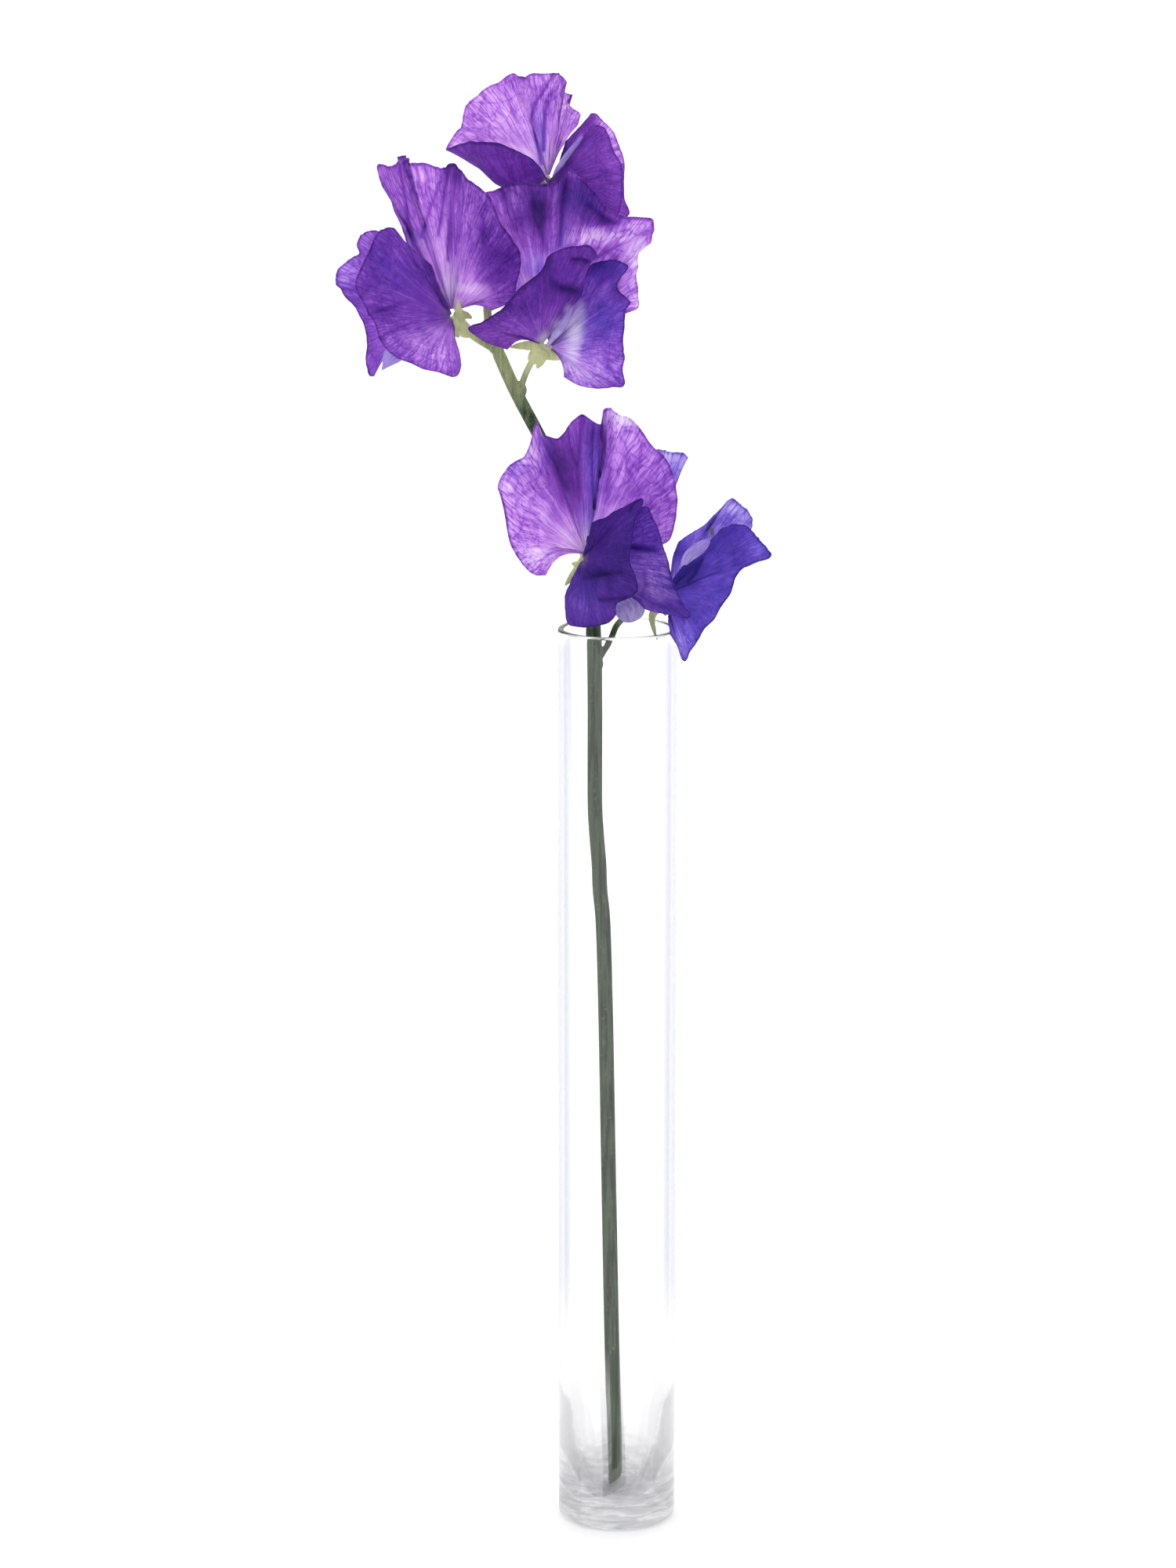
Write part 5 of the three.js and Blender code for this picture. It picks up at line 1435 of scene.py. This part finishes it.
def stemMaterial(settings):
    finish = Finish("green_stem")
    place = finish.objectPlace()
    streaks = finish.noise(finish.stretched(place, settings["streakScale"]), 1, 3, 0.6)
    speckle = finish.ramp(finish.noise(place, settings["speckleScale"]), *settings["speckleRange"])
    oldTints, freshTints = ([colour(*tint) for tint in settings[key]] for key in ("old", "fresh"))
    old = finish.colourMix(finish.ramp(streaks, *settings["oldRange"]), *oldTints)
    fresh = finish.colourMix(streaks, *freshTints)
    tint = finish.colourMix(finish.attribute("young"), old, fresh)
    tint = finish.colourMix(speckle * settings["speckleShare"], tint, colour(*settings["speckle"]))
    bump = finish.bump(settings["bump"], settings["bumpHeight"], streaks)
    skin = finish.principled({"Base Color": tint, "Roughness": settings["roughness"],
                              "Specular IOR Level": settings["specular"], "Normal": bump})
    return finish.finishWith(finish.shaderMix(settings["through"], skin, finish.glow(settings["glow"])))


def makeStalk(settings):
    # The main stalk with its slanting cut
    radii = [settings["radius"] if z < settings["topFrom"] else settings["topRadius"]
             for x, y, z in settings["main"]]
    made = tubeAlong("stalk", settings["main"], radii, *settings["mainMesh"])
    bpy.ops.object.mode_set(mode="EDIT")
    bpy.ops.mesh.select_all(action="SELECT")
    cut = settings["cut"]
    bpy.ops.mesh.bisect(plane_co=Vector(cut["place"]) * mm, plane_no=cut["normal"], use_fill=True,
                        clear_outer=True)
    bpy.ops.object.mode_set(mode="OBJECT")
    return made


def makeJoint(joint, mesh):
    deselectAll()
    sides, rings = mesh
    bpy.ops.mesh.primitive_uv_sphere_add(segments=sides, ring_count=rings, radius=mm,
                                         location=Vector(joint["place"]) * mm, scale=joint["size"])
    return bpy.context.object


def makeStem(settings):
    main = makeStalk(settings)
    parts = [main, tubeAlong("upper", settings["upper"], settings["upperRadii"], *settings["upperMesh"])]
    for bloom, start in settings["stalks"]:
        end = inPlace(bloom, np.array(bloom["calyx"]["foot"], float))
        points = [*start, end]
        radii = [settings["stalkRadius"]] * len(points)
        parts.append(tubeAlong("flower_stalk", points, radii, *settings["stalkMesh"]))
    for joint in settings["joints"]:
        parts.append(makeJoint(joint, settings["jointMesh"]))
    for bloom in blooms:
        parts += makeCalyx(bloom, calyxLook)
    deselectAll()
    for part in parts:
        part.select_set(True)
    bpy.context.view_layer.objects.active = main
    bpy.ops.object.join()
    piece = bpy.context.object
    piece.name = "green_stem"
    bpy.ops.object.transform_apply(location=True, rotation=True, scale=True)
    applyModifier(piece, "REMESH", {"mode": "VOXEL", "voxel_size": settings["grain"] * mm})
    applyModifier(piece, "SMOOTH", settings["smoothing"])
    bpy.ops.object.shade_smooth()
    places = vertexPlaces(piece) / mm
    mouths = [inPlace(bloom, np.array(bloom["calyx"]["mouth"], float)) for bloom in blooms]
    nearest = np.min([np.linalg.norm(places - mouth, axis=1) for mouth in mouths], axis=0)
    young = settings["youngStart"] - nearest / settings["youngReach"]
    setAttribute(piece, "young", np.clip(young, 0, 1))
    finishPiece(piece, "stem", stemMaterial(settings))
    print("stem has", len(piece.data.polygons), "faces")


makeStem(stemLook)
